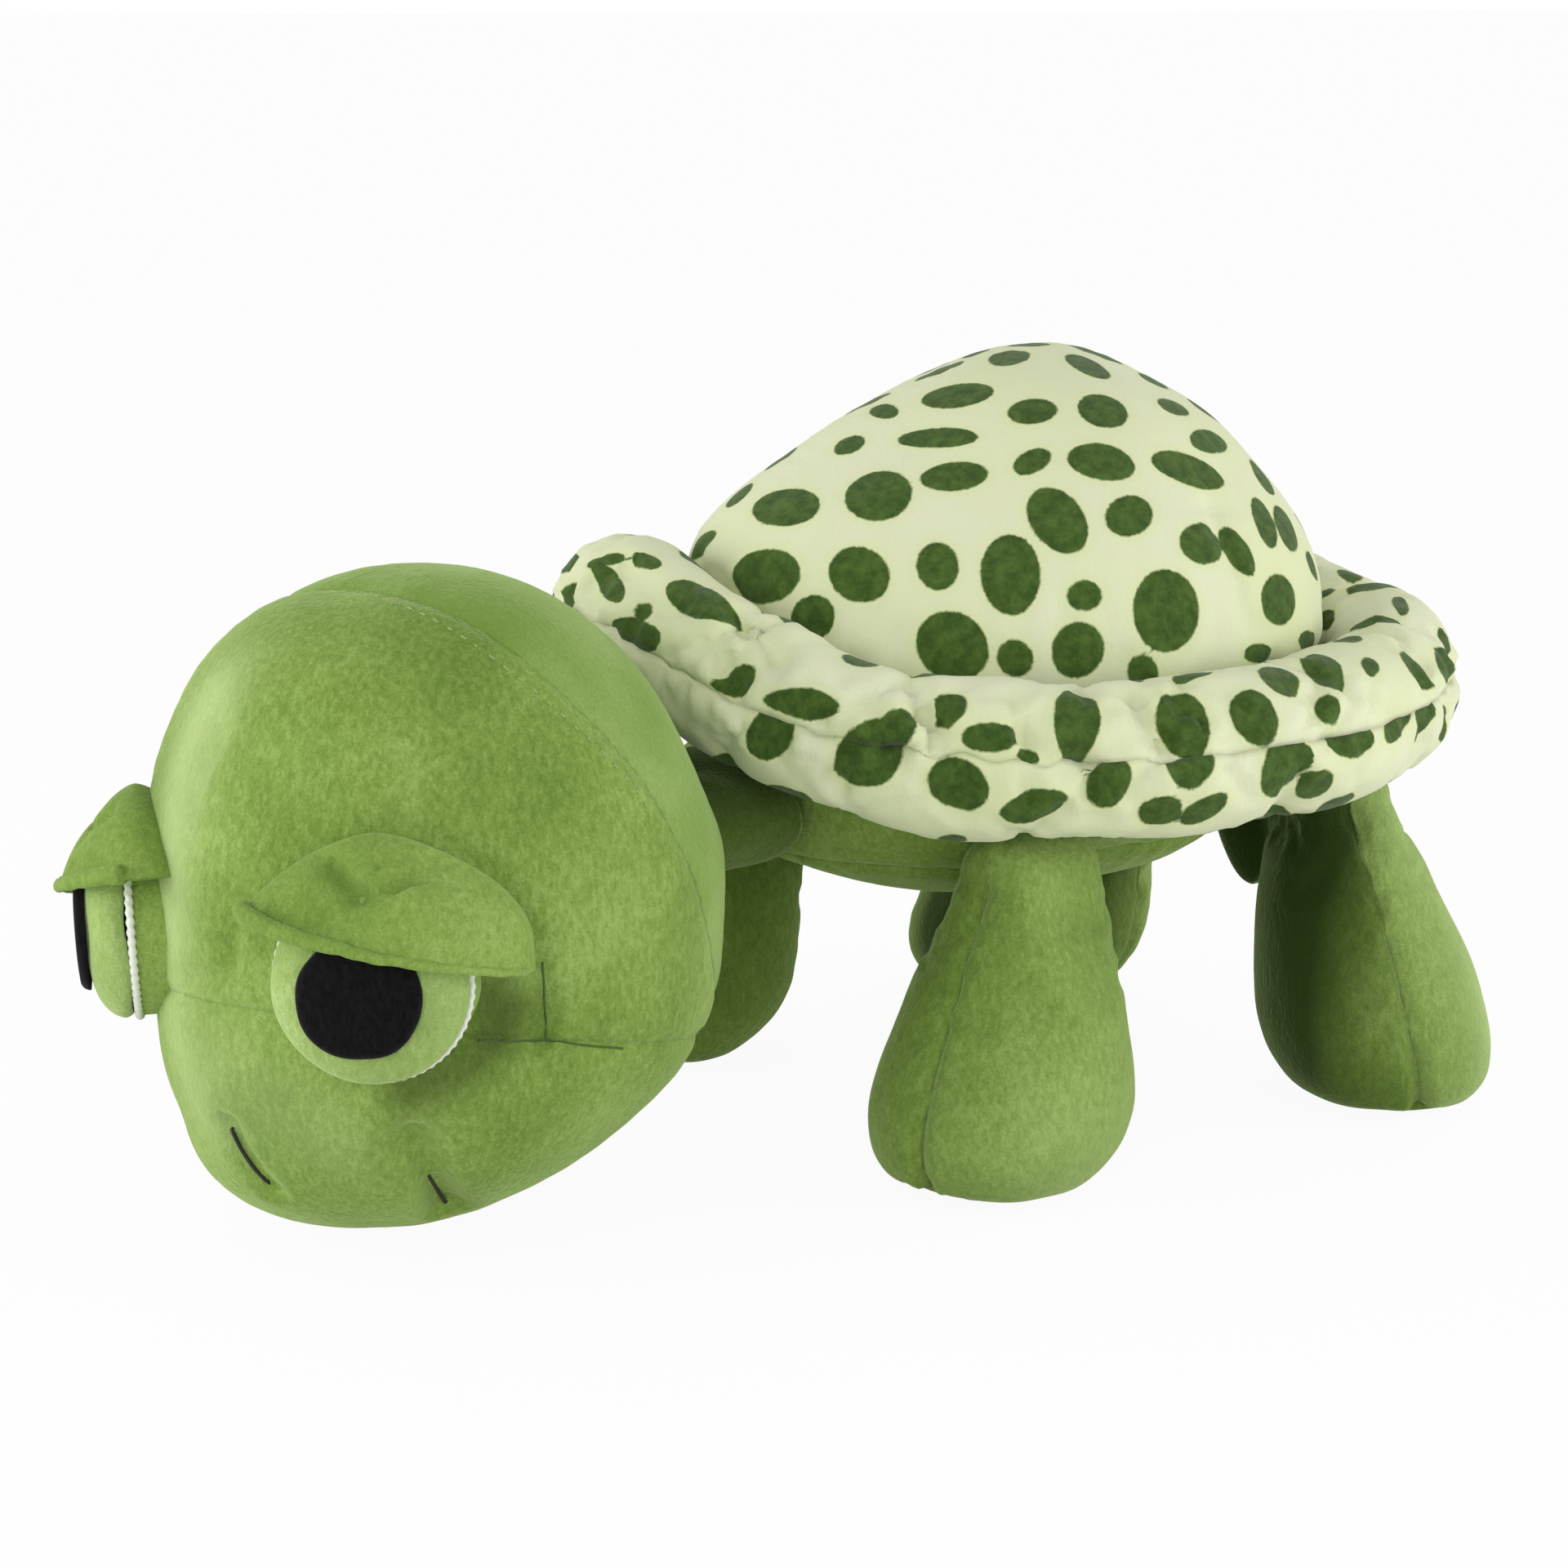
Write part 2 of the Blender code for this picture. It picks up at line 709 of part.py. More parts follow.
def cut(piece, cutter):
    modifier = piece.modifiers.new(cutter.name, "BOOLEAN")
    modifier.operation = "DIFFERENCE"
    modifier.object = cutter


def core(form, thin_rows, thin_columns, depth=SKIN_THICKNESS + PACK_GAP):
    """Stuffing that fills a form under its skin, on fewer rings and columns."""
    layer = form.layer(depth)
    rows = list(range(0, len(layer), thin_rows))
    if rows[-1] != len(layer) - 1:
        rows.append(len(layer) - 1)
    return grid_solid(layer[rows][:, ::thin_columns])


# Body

def make_torso():
    form = Form(round_grid(torso_point, len(TORSO_RING_SHARES), TORSO_COLUMNS))
    tail_socket = barrel(TAIL_PIVOT, LEFT, TAIL_TOP_HALF_LENGTH + SOCKET_GAP,
                         TAIL_TOP_RADIUS + SOCKET_GAP, TAIL_SOCKET_COLUMNS, SOCKET_ROWS)
    neck_reach = NECK_HALF_WIDTH + SOCKET_GAP
    neck_socket = ball(NECK_PIVOT, (LEFT, -heading(0.0), UP),
                       (neck_reach, neck_reach, NECK_HALF_HEIGHT + SOCKET_GAP),
                       SOCKET_COLUMNS, SOCKET_ROWS)
    cutters = [add_cutter("torso_sockets", "torso", [tail_socket, neck_socket])]
    cutters.extend(add_cutter("room_" + name, "torso", [grid_solid(leg_room(name))])
                   for name in LEGS)
    last = len(TORSO_RING_SHARES) - 1
    panels = (("torso_belly_panel", 0, BELLY_ROWS),
              ("torso_side_panel", BELLY_ROWS, BACK_ROWS),
              ("torso_back_panel", BACK_ROWS, last))
    for name, low, high in panels:
        panel = add_node(name, "torso", skin_patch(form, low, high), "green_plush")
        if name != "torso_back_panel":
            for cutter in cutters:
                cut(panel, cutter)
    stuffing = add_node("torso_stuffing", "torso", core(form, 1, 1), "stuffing")
    for cutter in cutters:
        cut(stuffing, cutter)


def rim_height(azimuth):
    """Height of the rim's centre line: it rides up over the neck and the rump."""
    crest = max(math.cos(azimuth - RIM_CREST_AZIMUTH), 0.0) ** RIM_CREST_POWER
    rump = max(-math.cos(azimuth), 0.0) ** RIM_REAR_POWER
    rise = (RIM_SIDE_RISE + (RIM_FRONT_RISE - RIM_SIDE_RISE) * crest
            + (RIM_REAR_RISE - RIM_SIDE_RISE) * rump)
    return BELLY_HEIGHT + TORSO_DEPTH + rise


def rim_centre(azimuth):
    return np.array([RIM_PATH_HALF_WIDTH * math.sin(azimuth),
                     RIM_SETBACK - RIM_PATH_HALF_LENGTH * math.cos(azimuth),
                     rim_height(azimuth)])


def rim_outward(azimuth):
    return unit(np.array([RIM_PATH_HALF_LENGTH * math.sin(azimuth),
                          -RIM_PATH_HALF_WIDTH * math.cos(azimuth), 0.0]))


def make_rim():
    """Roll made of an upper and a lower strip that meet on its outer mid-line."""
    grid = []
    for section in range(RIM_SECTION):
        turn = RIM_SEAM_TILT + math.tau * section / RIM_SECTION
        ring = []
        for column in range(RIM_COLUMNS):
            azimuth = math.tau * column / RIM_COLUMNS
            ring.append(rim_centre(azimuth)
                        + RIM_ROLL_RADIUS * (math.cos(turn) * rim_outward(azimuth)
                                             + math.sin(turn) * UP))
        grid.append(ring)
    grid = np.array(grid)
    half = RIM_SECTION // 2
    form = Form(grid, rolled=True)
    for name, rows in (("rim_upper_strip", range(half + 1)),
                       ("rim_lower_strip", range(half, RIM_SECTION + 1))):
        chosen = [row % RIM_SECTION for row in rows]
        outer = form.layer(0.0)[chosen]
        inner = form.layer(SKIN_THICKNESS)[chosen]
        pull_in(outer, inner, 0, 0)
        pull_in(outer, inner, 0, -1)
        add_node(name, "torso", close_patch(outer, inner, False, False, True),
                 "spotted_plush")
    filling = form.layer(SKIN_THICKNESS + PACK_GAP)[::2]
    add_node("rim_stuffing", "torso", grid_solid(filling, rows_close=True), "stuffing")


def dome_fullness(azimuth):
    """Roundness of the dome's outline: a long slope ahead and a steep rump."""
    ahead = math.cos(azimuth)
    return DOME_FULLNESS - (DOME_FRONT_SLOPE if ahead > 0.0 else DOME_REAR_SLOPE) * ahead


def dome_point(share, azimuth):
    """Dome surface from its base seam at share 0 to its peak at share 1."""
    seat = rim_centre(azimuth)
    flat_radius = RIM_ROLL_RADIUS * math.cos(math.pi / RIM_SECTION)
    seat_rise = flat_radius * math.sin(DOME_SEAT_TILT)
    seat_reach = flat_radius * math.cos(DOME_SEAT_TILT) + 2 * SEAM_GAP
    base = seat - rim_outward(azimuth) * seat_reach + UP * seat_rise
    peak_height = BELLY_HEIGHT + TORSO_DEPTH + DOME_HEIGHT
    peak = np.array([0.0, DOME_PEAK_SETBACK, peak_height])
    fullness = dome_fullness(azimuth)
    angle = share * math.pi / 2
    reach = math.cos(angle) ** (2.0 / fullness)
    rise = math.sin(angle) ** (2.0 / fullness)
    swell = DOME_BULGE * math.sin(math.pi * min(share * 2.2, 1.0))
    point = peak + (base - peak) * reach
    point[2] = base[2] + (peak_height - base[2]) * rise
    return point + rim_outward(azimuth) * swell


def make_dome():
    grid = []
    for row in range(DOME_ROWS + 1):
        share = row / DOME_ROWS
        grid.append([dome_point(share, math.tau * column / RIM_COLUMNS)
                     for column in range(RIM_COLUMNS)])
    form = Form(np.array(grid))
    add_node("shell_dome", "torso", skin_patch(form, 0, DOME_ROWS), "spotted_plush")
    layer = form.layer(SKIN_THICKNESS + PACK_GAP)[::3, ::2]
    floor = layer[0].copy()
    floor[:, 2] = BELLY_HEIGHT + TORSO_DEPTH + SEAM_GAP
    floor[:, :2] *= STUFFING_SEAT_SHARE
    middle = floor * np.array([0.0, 0.0, 1.0])
    filling = np.concatenate([[middle, floor], layer])
    add_node("shell_stuffing", "torso", grid_solid(filling), "stuffing")


# Neck

def make_neck():
    """Short flat neck: it turns on its rear end and carries the head on its front."""
    grid = []
    rows = 2 * NECK_END_ROWS + 2
    for row in range(rows):
        front = row > NECK_END_ROWS
        step = row - NECK_END_ROWS - 1 if front else row - NECK_END_ROWS
        tilt = math.pi / 2 * step / NECK_END_ROWS
        reach = NECK_HALF_HEIGHT if front else NECK_HALF_WIDTH
        centre = (HEAD_PIVOT if front else NECK_PIVOT) + NECK_WAY * reach * math.sin(tilt)
        grid.append([centre + math.cos(tilt) * (
            NECK_LEFT * NECK_HALF_WIDTH * math.cos(math.tau * column / NECK_COLUMNS)
            + UP * NECK_HALF_HEIGHT * math.sin(math.tau * column / NECK_COLUMNS))
            for column in range(NECK_COLUMNS)])
    form = Form(np.array(grid))
    add_node("neck_sleeve", "neck", skin_patch(form, 1, rows - 2), "green_plush")
    add_node("neck_stuffing", "neck", core(form, 1, 2), "stuffing")


# Head

HEAD_LEFT = NECK_LEFT * math.cos(HEAD_ROLL) + UP * math.sin(HEAD_ROLL)
HEAD_UP = UP * math.cos(HEAD_ROLL) - NECK_LEFT * math.sin(HEAD_ROLL)
HEAD_CENTRE = np.array([HEAD_AXIS[0], HEAD_AXIS[1], HEAD_ROLL_HEIGHT])


def head_way(local):
    """World direction of one given in the head's own left, back and up."""
    return HEAD_LEFT * local[0] - NECK_WAY * local[1] + HEAD_UP * local[2]


def head_place(local):
    return HEAD_CENTRE + head_way(local - UP * HEAD_ROLL_HEIGHT)


def head_local_point(position, azimuth):
    height, half_width, front, back = smooth_ring(HEAD_RING_SHARES, position)
    front *= HEAD_FRONT_REACH
    back *= HEAD_BACK_REACH
    lean = max(1.0 - height / CHIN_LEAN_RISE_SHARE, 0.0) ** 2
    return np.array([
        math.sin(azimuth) * half_width * HEAD_HALF_WIDTH - CHIN_LEAN * lean,
        (back - front) / 2 - math.cos(azimuth) * (back + front) / 2,
        CHIN_HEIGHT + height * HEAD_HEIGHT,
    ])


def head_point(position, azimuth):
    return head_place(head_local_point(position, azimuth))


def make_head():
    """Ball of three panels: face and crown, back, and jaw, seated on the neck."""
    rows = len(HEAD_RING_SHARES)
    form = Form(round_grid(head_point, rows, HEAD_COLUMNS))
    socket = add_cutter("head_socket", "head", [
        ball(HEAD_PIVOT, (UP, NECK_WAY, NECK_LEFT),
             (NECK_HALF_HEIGHT + SOCKET_GAP, NECK_HALF_HEIGHT + SOCKET_GAP,
              NECK_HALF_WIDTH + SOCKET_GAP), SOCKET_COLUMNS, SOCKET_ROWS)])
    seam = round(HEAD_COLUMNS * CROWN_SEAM_AZIMUTH / math.tau)
    add_node("head_jaw_panel", "head", skin_patch(form, 0, JAW_ROWS), "green_plush")
    add_node("head_front_panel", "head",
             skin_patch(form, JAW_ROWS, rows - 1, range(-seam, seam + 1)),
             "green_plush")
    back = add_node("head_back_panel", "head",
                    skin_patch(form, JAW_ROWS, rows - 1,
                               range(seam, HEAD_COLUMNS - seam + 1)), "green_plush")
    cut(back, socket)
    stuffing = add_node("head_stuffing", "head", core(form, 2, 2), "stuffing")
    cut(stuffing, socket)
    return add_cutter("head_surface", "head", [grid_solid(form.layer(-SEAM_GAP))])


def make_eye(name, side, head_surface):
    """Puffed disc of a face on a side band, with piping, a pupil and a lid."""
    azimuth = side * EYE_SPLAY
    way = head_way(heading(azimuth))
    inward = -head_way(np.array([math.cos(azimuth), math.sin(azimuth), 0.0]))
    outward = -side * inward
    lift = RIGHT_EYE_LIFT if side < 0.0 else 0.0
    centre = head_place(heading(azimuth) * EYE_REACH + UP * (EYE_HEIGHT + lift))

    def disc(profile, place=centre):
        return turned(profile, place, way, EYE_COLUMNS)

    outer = [(reach * EYE_RADIUS, -depth * EYE_DEPTH) for reach, depth in EYE_ARC_SHARES]
    outer.append((0.0, EYE_BULGE))
    inner = [(reach * (EYE_RADIUS - SKIN_THICKNESS), -depth * EYE_DEPTH - lining)
             for (reach, depth), lining in zip(
                 EYE_ARC_SHARES, (0.0, *[SKIN_THICKNESS] * (len(EYE_ARC_SHARES) - 1)))]
    inner.append((0.0, EYE_BULGE - SKIN_THICKNESS))
    add_node(name + "_face", "head", disc(inner[::-1] + outer), "eye_green_plush")
    piping_height = -EYE_DEPTH - SEAM_GAP - PIPING_RADIUS
    ring = []
    for step in range(PIPING_SIDES):
        turn = math.tau * step / PIPING_SIDES
        ring.append((EYE_RADIUS + PIPING_RADIUS * math.cos(turn),
                     piping_height + PIPING_RADIUS * math.sin(turn)))
    add_node(name + "_piping", "head", disc(ring), "white_piping")
    band_front = piping_height - PIPING_RADIUS - SEAM_GAP
    band = add_node(name + "_band", "head", disc((
        (EYE_RADIUS, -EYE_ROOT_DEPTH),
        (EYE_RADIUS, band_front),
        (EYE_RADIUS - SKIN_THICKNESS, band_front),
        (EYE_RADIUS - SKIN_THICKNESS, -EYE_ROOT_DEPTH))), "green_plush")
    cut(band, head_surface)
    packed_radius = EYE_RADIUS - SKIN_THICKNESS - PACK_GAP
    packed = [(0.0, -EYE_ROOT_DEPTH), (packed_radius, -EYE_ROOT_DEPTH)]
    packed.extend((reach * packed_radius, height - PACK_GAP)
                  for (reach, depth), (_, height) in zip(EYE_ARC_SHARES, inner))
    packed.append((0.0, EYE_BULGE - SKIN_THICKNESS - PACK_GAP))
    stuffing = add_node(name + "_stuffing", "head", disc(packed), "stuffing")
    cut(stuffing, head_surface)
    pupil_place = centre - outward * PUPIL_INWARD - HEAD_UP * PUPIL_DROP
    pupil_low = EYE_BULGE + SEAM_GAP
    edge_radius = PUPIL_RADIUS - PUPIL_THICKNESS / 2
    add_node(name + "_pupil", "head", disc((
        (0.0, pupil_low),
        (PUPIL_RADIUS, pupil_low),
        (PUPIL_RADIUS, pupil_low + PUPIL_THICKNESS / 2),
        (edge_radius, pupil_low + PUPIL_THICKNESS),
        (0.0, pupil_low + PUPIL_THICKNESS)), pupil_place), "black_velour")

    lid_centre = centre - way * LID_SETBACK + outward * LID_OUTWARD + HEAD_UP * LID_LIFT
    lid = add_node(name + "lid", "head", ball(
        lid_centre, (outward * side, -way, HEAD_UP),
        (LID_HALF_WIDTH, LID_REACH, LID_RISE), LID_COLUMNS, LID_ROWS, LID_SQUARENESS),
        "green_plush")
    clear_radius = EYE_RADIUS + PIPING_RADIUS + SEAM_GAP
    clear = [(0.0, -2 * EYE_ROOT_DEPTH), (clear_radius, -2 * EYE_ROOT_DEPTH)]
    clear.extend((reach * clear_radius, height + SEAM_GAP) for reach, height in
                 [(reach / EYE_RADIUS, height) for reach, height in outer])
    cut(lid, add_cutter(name + "_room", "head", [disc(clear)]))
    pupil_room = disc((
        (0.0, -pupil_low),
        (PUPIL_RADIUS + SEAM_GAP, -pupil_low),
        (PUPIL_RADIUS + SEAM_GAP, pupil_low + PUPIL_THICKNESS + SEAM_GAP),
        (0.0, pupil_low + PUPIL_THICKNESS + SEAM_GAP)), pupil_place)
    cut(lid, add_cutter(name + "_pupil_room", "head", [pupil_room]))
    slope_out = outward * math.cos(LID_SLOPE) - HEAD_UP * math.sin(LID_SLOPE)
    slope_up = HEAD_UP * math.cos(LID_SLOPE) + outward * math.sin(LID_SLOPE)
    edge = centre + HEAD_UP * LID_EDGE_LIFT
    corners = []
    for low in (-2 * LID_RISE, 0.0):
        for across, deep in ((-1, -1), (1, -1), (1, 1), (-1, 1)):
            corners.append(edge + slope_up * low
                           + slope_out * side * across * 2 * LID_HALF_WIDTH
                           - way * deep * 3 * LID_REACH)
    block = (corners, [(0, 3, 2, 1), (4, 5, 6, 7), (0, 1, 5, 4),
                       (1, 2, 6, 5), (2, 3, 7, 6), (3, 0, 4, 7)])
    cut(lid, add_cutter(name + "_slope", "head", [block]))
    cut(lid, head_surface)


def tube(points, radius, sides):
    """Round thread through points, with flat ends."""
    points = np.array(points)
    ways = unit(np.gradient(points, axis=0))
    first = unit(np.cross(ways, UP))
    second = np.cross(ways, first)
    rings = []
    for point, one, two in zip(points, first, second):
        rings.append([point + radius * (math.cos(math.tau * side / sides) * one
                                        + math.sin(math.tau * side / sides) * two)
                      for side in range(sides)])
    start = np.repeat(points[:1], sides, axis=0)
    end = np.repeat(points[-1:], sides, axis=0)
    return grid_solid(np.array([start, *rings, end]))


def make_mouth():
    """Smile thread laid along the muzzle, under which its middle runs."""
    points = []
    steps = 3 * (len(MOUTH_PATH_SHARES) - 1)
    for step in range(steps + 1):
        turn, rise = smooth_ring(MOUTH_PATH_SHARES, step / 3)
        azimuth = math.radians(turn)
        height = CHIN_HEIGHT + rise * HEAD_HEIGHT
        position = ring_at_height(head_local_point, azimuth, height)
        points.append(stand_point(head_point, azimuth,
                                  head_point(position, azimuth)[2],
                                  2 * MOUTH_THREAD_RADIUS))
    add_node("mouth_thread", "head", tube(points, MOUTH_THREAD_RADIUS, 6),
             "black_thread")


# Limbs

def make_leg(name):
    body = "leg_" + name
    form = leg_form(name)
    last = len(form.grid) - 1
    half = LEG_COLUMNS // 2
    halves = (range(half + 1), range(half, LEG_COLUMNS + 1))
    if LEGS[name]["side"] < 0.0:
        halves = halves[::-1]
    add_node(body + "_sole", body, skin_patch(form, 0, SOLE_ROWS), "green_plush")
    for side_name, columns in zip(("outer", "inner"), halves):
        add_node(body + "_" + side_name + "_panel", body,
                 skin_patch(form, SOLE_ROWS, last, columns), "green_plush")
    add_node(body + "_stuffing", body, core(form, 2, 2), "stuffing")


def make_tail():
    tip = TAIL_PIVOT - UP * TAIL_LENGTH - heading(0.0) * TAIL_BACKWARD
    form = limb_form(TAIL_PIVOT, LEFT, tip, TAIL_HALF_WIDTH, TAIL_HALF_THICKNESS,
                     TAIL_RING_SHARES, TAIL_TOP_HALF_LENGTH, TAIL_TOP_RADIUS,
                     TAIL_COLUMNS, LEG_TOP_ROWS, grounded=False)
    add_node("tail_skin", "tail", skin_patch(form, 0, len(form.grid) - 2), "green_plush")
    add_node("tail_stuffing", "tail", core(form, 2, 2), "stuffing")


def stand_in_middle():
    """Bring the middle of the whole toy's footprint to the origin."""
    bpy.context.view_layer.update()
    depsgraph = bpy.context.evaluated_depsgraph_get()
    lows = []
    highs = []
    for piece in bpy.context.scene.objects:
        if piece.type != "MESH" or piece.hide_render:
            continue
        shown = piece.evaluated_get(depsgraph)
        points = np.array([shown.matrix_world @ vertex.co for vertex in shown.data.vertices])
        lows.append(points.min(axis=0))
        highs.append(points.max(axis=0))
    middle = (np.min(lows, axis=0) + np.max(highs, axis=0)) / 2
    PIVOTS["turtle"][0].location = (-middle[0], -middle[1], 0.0)


def main():
    clear_objects()
    for name, (colour, roughness) in MATERIAL_LOOKS.items():
        LOOKS[name] = fabric(name, colour, roughness)
    add_pivot("turtle", ORIGIN, None)
    add_pivot("torso", ORIGIN, "turtle")
    add_pivot("neck", NECK_PIVOT, "torso")
    add_pivot("head", HEAD_PIVOT, "neck")
    add_pivot("tail", TAIL_PIVOT, "torso")
    for name, leg in LEGS.items():
        add_pivot("leg_" + name, leg["pivot"], "torso")
    make_torso()
    make_rim()
    make_dome()
    make_neck()
    head_surface = make_head()
    for name, side in (("left_eye", 1.0), ("right_eye", -1.0)):
        make_eye(name, side, head_surface)
    make_mouth()
    for name in LEGS:
        make_leg(name)
    make_tail()
    stand_in_middle()


main()
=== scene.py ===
"""Looks of a plush turtle: its sewn skins, stuffed shell, eyes, stitches and studio."""

import json
import math

import bmesh
import bpy
import numpy as np
from mathutils import Matrix, Vector
from mathutils.bvhtree import BVHTree


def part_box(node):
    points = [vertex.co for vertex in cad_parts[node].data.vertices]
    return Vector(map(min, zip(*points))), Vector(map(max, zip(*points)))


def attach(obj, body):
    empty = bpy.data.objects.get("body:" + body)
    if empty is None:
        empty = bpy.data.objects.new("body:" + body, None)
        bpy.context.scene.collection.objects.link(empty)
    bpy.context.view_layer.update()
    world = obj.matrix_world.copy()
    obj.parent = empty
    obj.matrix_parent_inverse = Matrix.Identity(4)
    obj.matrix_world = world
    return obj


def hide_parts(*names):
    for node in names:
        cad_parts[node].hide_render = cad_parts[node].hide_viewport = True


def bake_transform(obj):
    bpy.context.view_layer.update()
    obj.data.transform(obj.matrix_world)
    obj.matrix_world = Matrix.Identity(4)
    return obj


bl_info = {
    "name": "Plush Turtle Looks",
    "version": (1, 0, 0),
    "blender": (4, 5, 0),
    "location": "3D View > Sidebar > Turtle",
    "description": "Builds the plush, print, seams and eyes of a stuffed turtle",
    "category": "Object",
}

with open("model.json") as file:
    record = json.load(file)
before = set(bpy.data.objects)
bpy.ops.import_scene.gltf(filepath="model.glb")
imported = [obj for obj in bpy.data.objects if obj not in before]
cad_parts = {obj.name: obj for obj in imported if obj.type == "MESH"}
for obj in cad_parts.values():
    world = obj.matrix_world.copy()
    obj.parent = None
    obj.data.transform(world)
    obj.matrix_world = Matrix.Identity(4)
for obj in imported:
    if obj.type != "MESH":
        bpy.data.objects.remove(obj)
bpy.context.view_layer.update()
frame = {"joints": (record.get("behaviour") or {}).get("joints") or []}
JOINTS = {joint["name"]: joint for joint in frame["joints"]}

# Real sizes in metres, the same as the sewn pattern's
TORSO_DEPTH = 0.050
TORSO_HALF_WIDTH = 0.079
TORSO_FRONT_REACH = 0.087
TORSO_REAR_REACH = 0.101
RIM_PATH_HALF_WIDTH = 0.106
RIM_PATH_HALF_LENGTH = 0.1115
RIM_SETBACK = 0.0020
RIM_FRONT_RISE = 0.0350
RIM_SIDE_RISE = 0.0076
RIM_REAR_RISE = 0.0145
DOME_PEAK_SETBACK = 0.0095
LEG_TOP_RADIUS = 0.0145
LEG_TOP_HALF_LENGTH = 0.019
TAIL_TOP_RADIUS = 0.005
TAIL_TOP_HALF_LENGTH = 0.010
NECK_HALF_WIDTH = 0.033
NECK_HALF_HEIGHT = 0.0155
HEAD_HEIGHT = 0.1641
HEAD_HALF_WIDTH = 0.0738
HEAD_FRONT_REACH = 0.0735
HEAD_BACK_REACH = 0.0723
HEAD_ROLL_HEIGHT = 0.090
CHIN_HEIGHT = 0.0094
CHIN_LEAN = 0.013
CHIN_LEAN_RISE_SHARE = 0.35
HEAD_PIVOT_INSET = 0.0054
EYE_REACH = 0.088
EYE_HEIGHT = 0.0840
RIGHT_EYE_LIFT = 0.0040
EYE_RADIUS = 0.0236
EYE_DEPTH = 0.0095
EYE_BULGE = 0.0016
EYE_ROOT_DEPTH = 0.036
PUPIL_RADIUS = 0.0150
PUPIL_THICKNESS = 0.0024
PUPIL_INWARD = 0.0008
PUPIL_DROP = 0.001
PIPING_RADIUS = 0.0010
PIPING_REACH_SHARE = 0.985
PIPING_TURNS = 60
EYE_COLUMNS = 120
LID_HALF_WIDTH = 0.0360
LID_RISE = 0.026
LID_REACH = 0.0205
LID_SETBACK = 0.0134
LID_OUTWARD = 0.002
LID_LIFT = 0.009
LID_EDGE_LIFT = 0.010

STITCH_RADIUS = 0.00028
RIM_PUCKERS = 44
SPOT_LONGEST = 0.0125

HEAD_ROLL = math.radians(4.0)
EYE_SPLAY = math.radians(37.0)
LID_SLOPE = math.radians(12.6)
RIM_SEAM_TILT = math.radians(10.0)
RIM_CREST_AZIMUTH = math.radians(-12.0)
DOME_SEAT_TILT = math.radians(20.0)
FRONT_SEAM_AZIMUTH = math.radians(15.0)
HIND_SEAM_AZIMUTH = math.radians(65.0)

TORSO_SQUARENESS = 2.5
LIMB_SQUARENESS = 2.1
LIMB_TOP_SQUARENESS = 4.0
LID_SQUARENESS = 1.6
LID_SLANT = 1.40
DOME_FULLNESS = 1.85
DOME_FRONT_SLOPE = 0.45
DOME_REAR_SLOPE = 0.10
RIM_CREST_POWER = 4.6
RIM_REAR_POWER = 3.0

# Torso rings from the belly up: height, half width, front reach, rear reach
TORSO_RING_SHARES = (
    (0.000, 0.00, 0.00, 0.00), (0.028, 0.31, 0.37, 0.29), (0.123, 0.52, 0.61, 0.49),
    (0.236, 0.65, 0.78, 0.62), (0.349, 0.74, 0.91, 0.70), (0.462, 0.84, 0.965, 0.81),
    (0.575, 0.925, 0.99, 0.91), (0.689, 0.975, 1.00, 0.97), (0.840, 1.00, 1.00, 1.00),
    (0.953, 0.94, 0.94, 0.92), (1.000, 0.80, 0.82, 0.80), (1.000, 0.40, 0.40, 0.40),
    (1.000, 0.00, 0.00, 0.00),
)
# Head rings from the chin up: height, half width, front reach, back reach
HEAD_RING_SHARES = (
    (0.000, 0.00, 0.22, -0.22), (0.003, 0.22, 0.47, -0.02), (0.027, 0.45, 0.68, 0.21),
    (0.063, 0.60, 0.80, 0.36), (0.119, 0.755, 0.895, 0.59), (0.188, 0.86, 0.94, 0.79),
    (0.251, 0.93, 0.985, 0.88), (0.316, 0.967, 1.00, 0.945), (0.421, 0.985, 1.00, 0.985),
    (0.537, 1.00, 0.99, 1.00), (0.613, 0.99, 0.97, 0.93), (0.702, 0.965, 0.925, 0.83),
    (0.791, 0.87, 0.85, 0.73), (0.880, 0.71, 0.73, 0.575), (0.955, 0.48, 0.51, 0.39),
    (0.993, 0.21, 0.23, 0.18), (1.000, 0.00, 0.00, 0.00),
)
# Leg rings from the sole up: rise, half width, half thickness, step to squarer
LEG_RING_SHARES = (
    (0.000, 0.00, 0.00, 0.0), (0.000, 0.42, 0.41, 0.0), (0.026, 0.71, 0.69, 0.0),
    (0.115, 0.925, 0.92, 0.0), (0.240, 1.00, 1.00, 0.0), (0.370, 0.97, 0.96, 0.0),
    (0.500, 0.90, 0.88, 0.0), (0.630, 0.82, 0.78, 0.05), (0.755, 0.73, 0.66, 0.15),
    (0.880, 0.62, 0.53, 0.45),
)
TAIL_RING_SHARES = (
    (0.000, 0.00, 0.00, 0.0), (0.035, 0.34, 0.40, 0.0), (0.160, 0.66, 0.72, 0.0),
    (0.380, 0.94, 0.96, 0.0), (0.620, 1.00, 1.00, 0.1), (0.840, 0.90, 0.88, 0.5),
)
BELLY_SEAM_RING = 4
BACK_SEAM_RING = 10
SOLE_SEAM_RING = 2
# Eye disc from its rim to its middle: reach, and depth under the front
EYE_ARC_SHARES = ((0.93, 1.00), (0.985, 0.86), (0.995, 0.68), (0.94, 0.40), (0.84, 0.18),
                  (0.70, 0.02), (0.42, -0.12), (0.00, -0.17))

